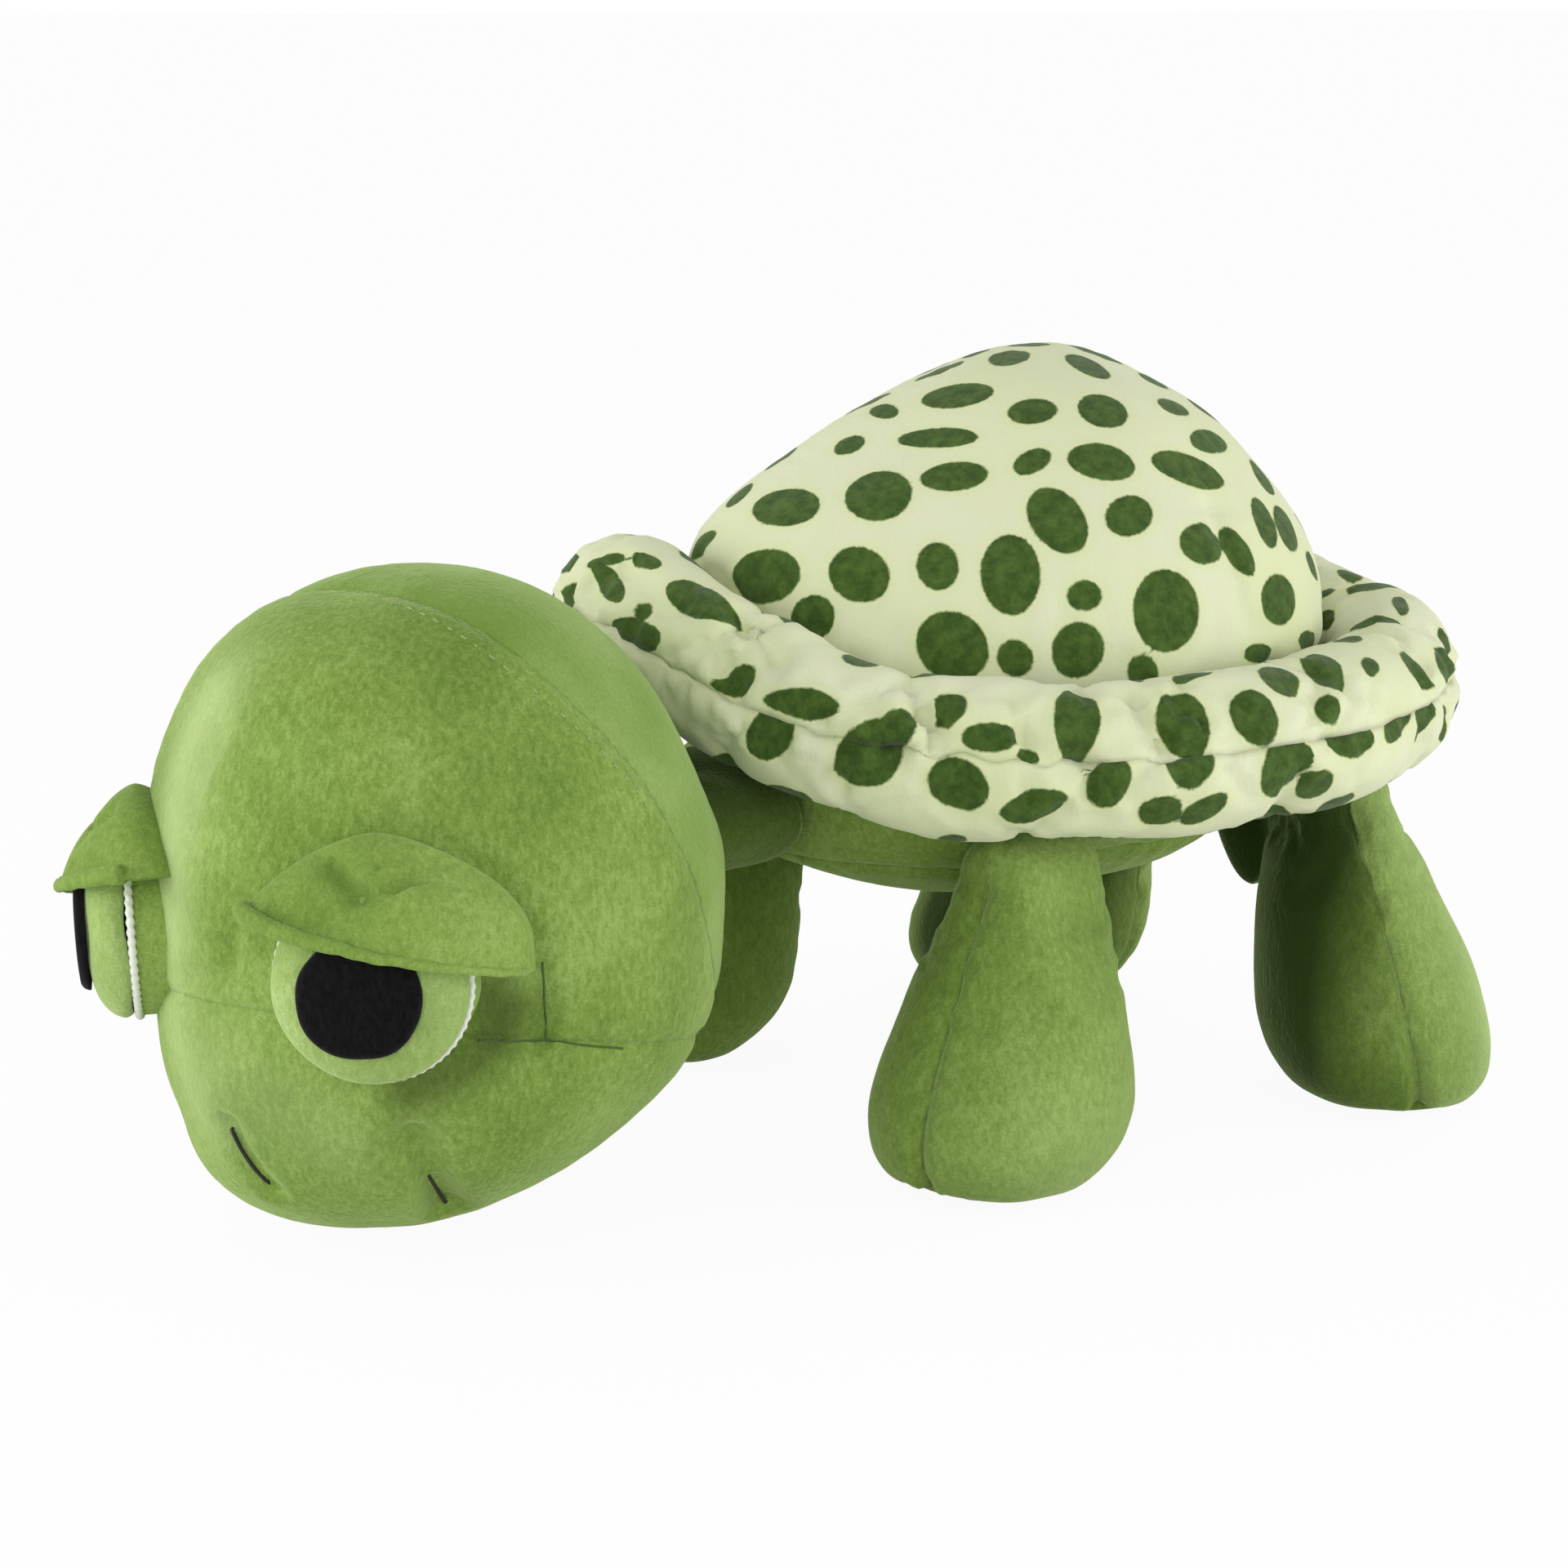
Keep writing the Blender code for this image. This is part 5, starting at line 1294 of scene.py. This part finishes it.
def build_head(form, sizes):
    """Face panel, crown and back panel, and jaw panel, cut along their seams."""
    shape = patch(form.points)
    tree = form.tree()
    # Painted light on each head panel: pale highlights and dark shade from the strokes
    # listed above
    strokes = [(cast_path(tree, pixels), width, strength)
               for pixels, width, strength in HEAD_PAINTED_LIGHT_PIXELS]
    (crown_at, crown_way), (jaw_at, jaw_way) = (
        (head_place(point), head_way(unit(np.array(normal))))
        for point, normal in HEAD_SEAMS)
    panels = (
        ("head_face", ("head_front_panel", "head_stuffing"), "leaf_minky",
         ((crown_at, crown_way), (jaw_at, -jaw_way))),
        ("head_crown", ("head_back_panel",), "crown_minky",
         ((crown_at, -crown_way), (jaw_at, -jaw_way))),
        ("head_jaw", ("head_jaw_panel",), "leaf_minky", ((jaw_at, jaw_way),)),
    )
    for name, nodes, finish, cuts in panels:
        piece = new_piece(name, shape, finish, sizes.skin_thickness)
        for place, way in cuts:
            cut_off(piece, place, way)
        paint_light_and_shade(piece, strokes)
        sew_on(piece, "head", *nodes, fill=0.9)


def build_seam_threads(form):
    """Thread that shows on the crown seam and at the corners under the lids."""
    tree = form.tree()
    lay_stitches("crown_stitches", form, [cast_path(tree, CROWN_STITCH_PIXELS)],
                 "pale_cotton_thread", 0.0016, 0.0028)
    corners = []
    for pixels in CORNER_SEAM_PIXELS:
        path = cast_path(tree, pixels)
        corners += [path, mirrored(path)]
    lay_stitches("corner_stitches", form, corners, "moss_cotton_thread")


def build_mouth(form, sizes):
    """Black thread that shows as two stitches and runs hidden between them."""
    tree = form.tree()
    stitches = []
    for pixels in MOUTH_STITCH_PIXELS:
        path = cast_path(tree, pixels, 6)
        stitches.append(path + unit(CAMERA_PLACE - path) * 0.0002)
    left, right = stitches
    middle = (left[-1] + right[-1]) / 2
    inward = unit(HEAD_CENTRE - middle)
    hidden = smooth_path([left[-1], left[-1] + inward * 0.006, middle + inward * 0.008,
                          right[-1] + inward * 0.006, right[-1]], 6)
    path = np.concatenate([left[:1] + inward * 0.005, left, hidden[1:-1], right[::-1],
                           right[:1] + inward * 0.005])
    piece = new_piece("mouth_stitches", tube(path, sizes.mouth_thread_radius, 10),
                      "black_cotton_thread")
    sew_on(piece, "head", "mouth_thread")


def eye_frame(side):
    """Centre of an eye's face, the way it looks, and the outward side."""
    azimuth = side * EYE_SPLAY
    way = head_way(heading(azimuth))
    inward = -head_way(np.array([math.cos(azimuth), math.sin(azimuth), 0.0]))
    lift = RIGHT_EYE_LIFT if side < 0.0 else 0.0
    centre = head_place(heading(azimuth) * EYE_REACH + UP * (EYE_HEIGHT + lift))
    return centre, way, -side * inward


def build_eye(name, side, sizes):
    """Puffed face, twisted white piping, side band and velour pupil."""
    centre, way, outward = eye_frame(side)
    arc = np.array(EYE_ARC_SHARES)
    curve = through(arc[:, ::-1], np.linspace(0.0, len(arc) - 1.0, 30))[:, ::-1]
    profile = [(max(reach, 0.0) * EYE_RADIUS, -depth * EYE_DEPTH)
               for reach, depth in curve]
    profile[-1] = (0.0, profile[-1][1])
    grid = turned(profile, centre, way, EYE_COLUMNS)
    grid = grid + way * lumps(grid, *LUMPS["disc"])[..., None]
    face = new_piece(name + "_disc", patch(grid), "eye_minky",
                     sizes.skin_thickness)
    sew_on(face, "head", name + "_face", name + "_stuffing", fill=0.9)

    loop = turned([(EYE_RADIUS * PIPING_REACH_SHARE, 0.0)],
                  centre - way * (EYE_DEPTH + PIPING_RADIUS), way, 2 * EYE_COLUMNS)[0]
    shape = tube(loop, PIPING_RADIUS, 12, closed=True, twist=PIPING_TURNS / EYE_RADIUS,
                 lobes=2)
    piping = new_piece(name + "_cord", shape, "white_satin_thread")
    sew_on(piping, "head", name + "_piping")

    front = -EYE_DEPTH - 2 * PIPING_RADIUS
    profile = [(EYE_RADIUS * (1.0 - 0.015 * math.cos(math.pi * step / 8)),
                front + (-EYE_ROOT_DEPTH - front) * step / 8) for step in range(9)]
    grid = turned(profile[::-1], centre, way, EYE_COLUMNS)
    band = new_piece(name + "_side", patch(grid), "lid_minky",
                     sizes.skin_thickness)
    sew_on(band, "head", name + "_band")

    low = EYE_BULGE - 0.0006
    profile = [(0.0, low), (PUPIL_RADIUS, low)]
    for turn in np.linspace(0.0, math.pi / 2, 7):
        profile.append((PUPIL_RADIUS - PUPIL_THICKNESS * (1.0 - math.cos(turn)),
                        low + PUPIL_THICKNESS * math.sin(turn)))
    profile.extend((PUPIL_RADIUS * share,
                    low + PUPIL_THICKNESS + 0.0004 * (1.0 - share ** 2))
                   for share in (0.7, 0.5, 0.3, 0.0))
    place = centre - outward * PUPIL_INWARD - HEAD_UP * PUPIL_DROP
    grid = turned(profile, place, way, EYE_COLUMNS, wobble=0.03, seed=5)
    pupil = new_piece(name + "_pad", patch(grid), "pupil_velour")
    sew_on(pupil, "head", name + "_pupil")


def lid_path(form, pixels, side):
    """A fold of the near lid, laid on it or, turned about, on the far one."""
    near_centre = eye_frame(1.0)[0] + HEAD_UP * LID_LIFT
    scale = np.linalg.norm(CAMERA_PLACE - near_centre)
    points = np.array([CAMERA_PLACE + photo_way(pixel) * scale for pixel in pixels])
    local = head_local(points)
    if side < 0.0:
        local = local * MIRROR + UP * RIGHT_EYE_LIFT
    tree = form.tree()
    laid = [np.array(tree.find_nearest(Vector(point))[0]) for point in head_place(local)]
    return smooth_path(laid, 8)


def build_lid(name, side, sizes):
    """Padded visor over an eye, with a folded hem along its straight lower edge."""
    centre, way, outward = eye_frame(side)
    lid_centre = centre - way * LID_SETBACK + outward * LID_OUTWARD + HEAD_UP * LID_LIFT
    rows, columns = 72, 96
    tilts = np.linspace(-math.pi / 2, math.pi / 2, rows)
    angles = around(columns)
    level = np.abs(np.cos(tilts)) ** (2.0 / LID_SQUARENESS)
    level[[0, -1]] = 0.0
    rise = np.sign(tilts) * np.abs(np.sin(tilts)) ** (2.0 / LID_SQUARENESS)
    slant = (1.0 - np.abs(rise) ** LID_SLANT) ** (1.0 / LID_SLANT)
    level[1:rows // 2] = slant[1:rows // 2] = 1.0
    slant[[0, -1]] = 0.0
    grid = (lid_centre
            + np.einsum("r,c,x->rcx", level, np.cos(angles), outward * side)
            * LID_HALF_WIDTH
            - np.einsum("r,c,x->rcx", slant, np.sin(angles), way) * LID_REACH
            + np.einsum("r,c,x->rcx", rise, np.ones(columns), HEAD_UP) * LID_RISE)
    form = Form(grid)
    form.push(lumps(form.points, *LUMPS["lid"]))
    for pixels, depth, width in LID_FOLD_PIXELS:
        form.sew(lid_path(form, pixels, side), depth, width)
    piece = new_piece(name + "_visor", patch(form.points), "lid_minky")
    slope_up = HEAD_UP * math.cos(LID_SLOPE) + outward * math.sin(LID_SLOPE)
    slope_out = outward * math.cos(LID_SLOPE) - HEAD_UP * math.sin(LID_SLOPE)
    edge = centre + HEAD_UP * LID_EDGE_LIFT
    cut_off(piece, edge, -slope_up, fill=True)
    sew_on(piece, "head", name, fill=0.6)

    points = cloth_points(piece)
    rim = points[np.abs((points - edge) @ slope_up) < 2e-5]
    arms = rim - centre
    front = rim[arms @ way > -LID_SETBACK * 0.75]
    front = front[np.argsort(front @ slope_out)]
    rim = smooth_path(front[::5], 4)
    fray = lumps(rim[None], *LUMPS["hem"])[0]
    along = (rim - centre) @ outward / LID_HALF_WIDTH
    radii = np.interp(along, [-1.0, -0.5, 0.3, 1.0], [0.0026, 0.0021, 0.0012, 0.0009])
    lift = (radii * 0.6 + fray)[:, None]
    hem = new_piece(name + "_hem", tube(rim + slope_up * lift, radii, 10), "lid_minky")
    sew_on(hem, "head")


def build_neck(sizes):
    """Soft sleeve from the front of the torso into the nape."""
    rear = NECK_PIVOT - NECK_WAY * 0.012
    front = HEAD_PIVOT + NECK_WAY * 0.030
    section = ring(around(96), NECK_LEFT * NECK_HALF_WIDTH, UP * NECK_HALF_HEIGHT)
    grid = np.array([rear + (front - rear) * share + section
                     for share in np.linspace(0.0, 1.0, 30)])
    grid = grid + lumps(grid, *LUMPS["neck"])[..., None] * UP
    piece = new_piece("neck_tube", patch(grid), "leaf_minky",
                      sizes.skin_thickness)
    # Painted shade: the neck is darkened where it sits in the shadow between the head
    # and the shell
    paint_light_and_shade(piece, ((np.array([NECK_PIVOT, HEAD_PIVOT]), 0.060, -0.9),))
    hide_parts("neck_sleeve", "neck_stuffing")
    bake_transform(piece)


def leg_limb(name):
    """Sizes and places of a leg, read from its joint and its sole."""
    low, high = node_box("leg_" + name + "_sole")
    foot = (low + high) / 2
    foot[2] = 0.0
    pair, side = name.split("_")
    azimuth = FRONT_SEAM_AZIMUTH if pair == "front" else HIND_SEAM_AZIMUTH
    return {
        "pivot": joint_place("leg_fold_" + name),
        "foot": foot,
        "hinge": heading(azimuth if side == "left" else -azimuth),
        "halves": LEG_HALVES[pair],
        "top": (LEG_TOP_HALF_LENGTH, LEG_TOP_RADIUS),
    }


def build_leg(name, sizes):
    """Outer and inner panels with a gathered side seam, on a flat sole."""
    body = "leg_" + name
    pair, side = name.split("_")
    columns = 132
    half = columns // 2
    surface, last = limb_surface(leg_limb(name), LEG_RING_SHARES, columns)
    positions = even_positions(surface, last + 1.0, 96, (SOLE_SEAM_RING,))
    form = Form(surface(positions))
    seed = 100 + 10 * (pair == "hind") + (side == "right")
    sole_row = row_at(positions, SOLE_SEAM_RING)
    top = row_at(positions, last)
    form.held[:sole_row + 1] = 1.0
    form.held[top - 14:top] = np.linspace(0.0, 1.0, 14)[:, None]
    form.held[top:] = 1.0
    form.held[:, [0, half]] = 1.0
    fill_out(form, *FILLINGS["leg"])
    form.push(lumps(form.points, 0.0006, 0.040, seed))
    for column in (0, half):
        form.sew(form.points[sole_row:top, column], sizes.seam_depth * 1.5,
                 sizes.seam_width, sizes.gather * 0.6, 0.010, seed + column)
    form.sew(ring_path(form, sole_row), sizes.seam_depth * 0.8, sizes.seam_width,
             sizes.gather * 0.3, 0.020, seed + 5)
    form.points[..., 2] = np.maximum(form.points[..., 2], 0.0)
    sole = new_piece(body + "_base", patch(form.points[:sole_row + 1]), "leaf_minky",
                     sizes.skin_thickness)
    sew_on(sole, body, body + "_sole", body + "_stuffing", fill=0.85)
    halves = [list(range(half + 1)), [*range(half, columns), 0]]
    for panel, chosen in zip(("outer", "inner"), halves[::1 if side == "left" else -1]):
        piece = new_piece(body + "_" + panel,
                          patch(form.points[sole_row:][:, chosen], columns_close=False),
                          "leaf_minky", sizes.skin_thickness)
        # Painted light and shade: lighter low down and on the outer panels, darker high
        # up on the inner panels where the shell and head shade them
        upper, lower, low_strength, high_strength = LEG_PAINTED_LIGHT[pair, panel]
        middle = form.points[:, chosen[len(chosen) // 2]]
        paint_light_and_shade(piece, ((middle[int(top * upper):top], 0.036, high_strength),
                          (middle[:int(top * lower)], 0.030, low_strength)))
        sew_on(piece, body, body + "_" + panel + "_panel", fill=0.85)


def build_tail(sizes):
    """Small flat tail with a seam along each side."""
    low, high = node_box("tail_skin")
    limb = {"pivot": joint_place("tail_lift"), "hinge": LEFT, "halves": TAIL_HALVES,
            "foot": np.array([0.0, (low[1] + high[1]) / 2 + 0.004, low[2]]),
            "top": (TAIL_TOP_HALF_LENGTH, TAIL_TOP_RADIUS)}
    surface, last = limb_surface(limb, TAIL_RING_SHARES, 72)
    form = Form(surface(even_positions(surface, last + 1.0, 48)))
    for column in (0, 36):
        form.sew(form.points[2:-8, column], sizes.seam_depth * 0.6,
                 sizes.seam_width * 0.6)
    piece = new_piece("tail_flap", patch(form.points), "leaf_minky")
    # Painted shade: the tail is darkened where it hangs in the shade under the shell
    paint_light_and_shade(piece, ((form.points[4:-4, 18], 0.030, -1.3),))
    sew_on(piece, "tail", "tail_skin", "tail_stuffing", fill=0.7)


def soft_lamp(name, place, size, power):
    """A large soft box that looks at the toy."""
    light = bpy.data.lights.new(name, "AREA")
    light.shape = "DISK"
    light.size = size
    light.energy = power
    lamp = bpy.data.objects.new(name, light)
    lamp.location = place
    aim = Vector((0.0, 0.0, 0.09)) - Vector(place)
    lamp.rotation_euler = aim.to_track_quat("-Z", "Y").to_euler()
    bpy.context.scene.collection.objects.link(lamp)


def build_stage(looks):
    """Pale floor, soft lamps, a white surround and the camera."""
    scene = bpy.context.scene
    reach = 60.0
    mesh = bpy.data.meshes.new("studio_floor")
    mesh.from_pydata([(-reach, -reach, 0.0), (reach, -reach, 0.0),
                      (reach, reach, 0.0), (-reach, reach, 0.0)], [], [(0, 1, 2, 3)])
    floor = bpy.data.objects.new("studio_floor", mesh)
    scene.collection.objects.link(floor)
    # Uncoated paper: dull and even; most of what the camera sees of it is plain white
    paper, tree, _ = new_material("white_seamless_paper")
    shader = tree.nodes["Principled BSDF"]
    join(tree, shader, {"Base Color": linear("#F4F4F2"), "Roughness": 0.9,
                        "Specular IOR Level": 0.0})
    seen = add_node(tree, "LightPath").outputs["Is Camera Ray"]
    share = add_node(tree, "Math", {0: seen, 1: 0.94}, operation="MULTIPLY")
    glow = add_node(tree, "Emission", {"Strength": 1.0})
    mixed = add_node(tree, "MixShader", {0: share.outputs[0], 1: shader.outputs["BSDF"],
                                         2: glow.outputs["Emission"]})
    join(tree, tree.nodes["Material Output"], {"Surface": mixed.outputs["Shader"]})
    mesh.materials.append(paper)

    world = bpy.data.worlds.new("studio_surround")
    world.use_nodes = True
    scene.world = world
    tree = world.node_tree
    rays = add_node(tree, "LightPath").outputs
    seen = add_node(tree, "Math", {0: rays["Is Camera Ray"], 1: rays["Is Glossy Ray"]},
                    operation="MAXIMUM")
    strength = add_node(tree, "MapRange", {"Value": seen.outputs[0],
                                           "To Min": looks.surround_light,
                                           "To Max": 1.0})
    join(tree, tree.nodes["Background"], {"Color": (1.0, 1.0, 1.0, 1.0),
                                          "Strength": strength.outputs[0]})

    left = -CAMERA_RIGHT
    soft_lamp("key_lamp", left * 1.3 + CAMERA_BACK * 0.35 + UP * 0.25, 0.9,
              looks.key_power)
    soft_lamp("side_lamp", left * -1.3 + CAMERA_BACK * 0.25 + UP * 0.20, 0.9,
              looks.side_power)
    soft_lamp("front_lamp", CAMERA_BACK * 1.3 + left * 0.2 + UP * 0.25, 1.0,
              looks.front_power)

    camera = bpy.data.cameras.new("studio_camera")
    camera.lens = CAMERA_LENS_MM
    camera.sensor_width = SENSOR_MM
    camera.clip_start = 0.05
    holder = bpy.data.objects.new("studio_camera", camera)
    turn = np.eye(4)
    turn[:3] = np.stack([CAMERA_RIGHT, CAMERA_UP, CAMERA_BACK, CAMERA_PLACE], 1)
    holder.matrix_world = Matrix(turn.tolist())
    scene.collection.objects.link(holder)
    scene.camera = holder
    scene.view_settings.view_transform = "Standard"


# Settings a user would change, operators and panel

class TurtleSizes(bpy.types.PropertyGroup):
    skin_thickness: bpy.props.FloatProperty(
        name="Cloth thickness", description="Thickness of the plush with its backing",
        default=0.0014, min=0.0005, max=0.003, unit="LENGTH")
    seam_depth: bpy.props.FloatProperty(
        name="Seam depth", description="How far a sewn seam sinks into the stuffing",
        default=0.0013, min=0.0, max=0.004, unit="LENGTH")
    seam_width: bpy.props.FloatProperty(
        name="Seam width", description="Half width of the valley a seam makes",
        default=0.0022, min=0.001, max=0.006, unit="LENGTH")
    gather: bpy.props.FloatProperty(
        name="Gathers", description="Height of the small folds beside a seam",
        default=0.0009, min=0.0, max=0.003, unit="LENGTH")
    mouth_thread_radius: bpy.props.FloatProperty(
        name="Mouth thread radius", description="Radius of the black mouth thread",
        default=0.0005, min=0.0003, max=0.002, unit="LENGTH")


class TurtleLooks(bpy.types.PropertyGroup):
    surround_light: bpy.props.FloatProperty(
        name="Surround light", description="Strength of the white surround's light",
        default=0.66, min=0.0, max=1.0)
    key_power: bpy.props.FloatProperty(
        name="Key lamp", description="Power of the soft box on the left", default=9.0,
        min=0.0, max=60.0, unit="POWER")
    side_power: bpy.props.FloatProperty(
        name="Side lamp", description="Power of the soft box on the right",
        default=8.0, min=0.0, max=60.0, unit="POWER")
    front_power: bpy.props.FloatProperty(
        name="Front lamp", description="Power of the soft box over the camera",
        default=4.0, min=0.0, max=60.0, unit="POWER")


class TURTLE_OT_torso(bpy.types.Operator):
    """Build the torso's belly, side and back panels"""

    bl_idname = "turtle.torso"
    bl_label = "Torso"

    def execute(self, context):
        build_torso(context.scene.turtle_sizes)
        return {"FINISHED"}


class TURTLE_OT_rim(bpy.types.Operator):
    """Build the stuffed rim of the shell"""

    bl_idname = "turtle.rim"
    bl_label = "Shell rim"

    def execute(self, context):
        build_rim(context.scene.turtle_sizes)
        return {"FINISHED"}


class TURTLE_OT_dome(bpy.types.Operator):
    """Build the spotted dome of the shell"""

    bl_idname = "turtle.dome"
    bl_label = "Shell dome"

    def execute(self, context):
        build_dome(context.scene.turtle_sizes)
        return {"FINISHED"}


class TURTLE_OT_neck(bpy.types.Operator):
    """Build the neck sleeve"""

    bl_idname = "turtle.neck"
    bl_label = "Neck"

    def execute(self, context):
        build_neck(context.scene.turtle_sizes)
        return {"FINISHED"}


class TURTLE_OT_head(bpy.types.Operator):
    """Build the head's three panels and its mouth stitches"""

    bl_idname = "turtle.head"
    bl_label = "Head"

    def execute(self, context):
        sizes = context.scene.turtle_sizes
        form = head_form(sizes)
        build_head(form, sizes)
        build_seam_threads(form)
        build_mouth(form, sizes)
        return {"FINISHED"}


class TURTLE_OT_eyes(bpy.types.Operator):
    """Build both stuffed eyes and their lids"""

    bl_idname = "turtle.eyes"
    bl_label = "Eyes and lids"

    def execute(self, context):
        for name, side in (("left_eye", 1.0), ("right_eye", -1.0)):
            build_eye(name, side, context.scene.turtle_sizes)
            build_lid(name + "lid", side, context.scene.turtle_sizes)
        return {"FINISHED"}


class TURTLE_OT_legs(bpy.types.Operator):
    """Build the four legs"""

    bl_idname = "turtle.legs"
    bl_label = "Legs"

    def execute(self, context):
        for name in ("front_left", "front_right", "hind_left", "hind_right"):
            build_leg(name, context.scene.turtle_sizes)
        return {"FINISHED"}


class TURTLE_OT_tail(bpy.types.Operator):
    """Build the tail"""

    bl_idname = "turtle.tail"
    bl_label = "Tail"

    def execute(self, context):
        build_tail(context.scene.turtle_sizes)
        return {"FINISHED"}


class TURTLE_OT_stage(bpy.types.Operator):
    """Build the floor, lamps, surround and camera"""

    bl_idname = "turtle.stage"
    bl_label = "Studio"

    def execute(self, context):
        build_stage(context.scene.turtle_looks)
        return {"FINISHED"}


OPERATORS = (TURTLE_OT_torso, TURTLE_OT_rim, TURTLE_OT_dome, TURTLE_OT_neck,
             TURTLE_OT_head, TURTLE_OT_eyes, TURTLE_OT_legs, TURTLE_OT_tail,
             TURTLE_OT_stage)


class TURTLE_PT_panel(bpy.types.Panel):
    """Sizes, looks and building steps of the turtle"""

    bl_idname = "TURTLE_PT_panel"
    bl_label = "Plush Turtle"
    bl_space_type = "VIEW_3D"
    bl_region_type = "UI"
    bl_category = "Turtle"

    def draw(self, context):
        for group in (context.scene.turtle_sizes, context.scene.turtle_looks):
            for name in group.__annotations__:
                self.layout.prop(group, name)
        for operator in OPERATORS:
            self.layout.operator(operator.bl_idname)


CLASSES = (TurtleSizes, TurtleLooks, *OPERATORS, TURTLE_PT_panel)


def register():
    for item in CLASSES:
        bpy.utils.register_class(item)
    bpy.types.Scene.turtle_sizes = bpy.props.PointerProperty(type=TurtleSizes)
    bpy.types.Scene.turtle_looks = bpy.props.PointerProperty(type=TurtleLooks)


def unregister():
    del bpy.types.Scene.turtle_looks
    del bpy.types.Scene.turtle_sizes
    for item in reversed(CLASSES):
        bpy.utils.unregister_class(item)


def main():
    register()
    for operator in OPERATORS:
        name = operator.bl_idname.split(".")[1]
        getattr(bpy.ops.turtle, name)()


if __name__ == "__main__":
    main()
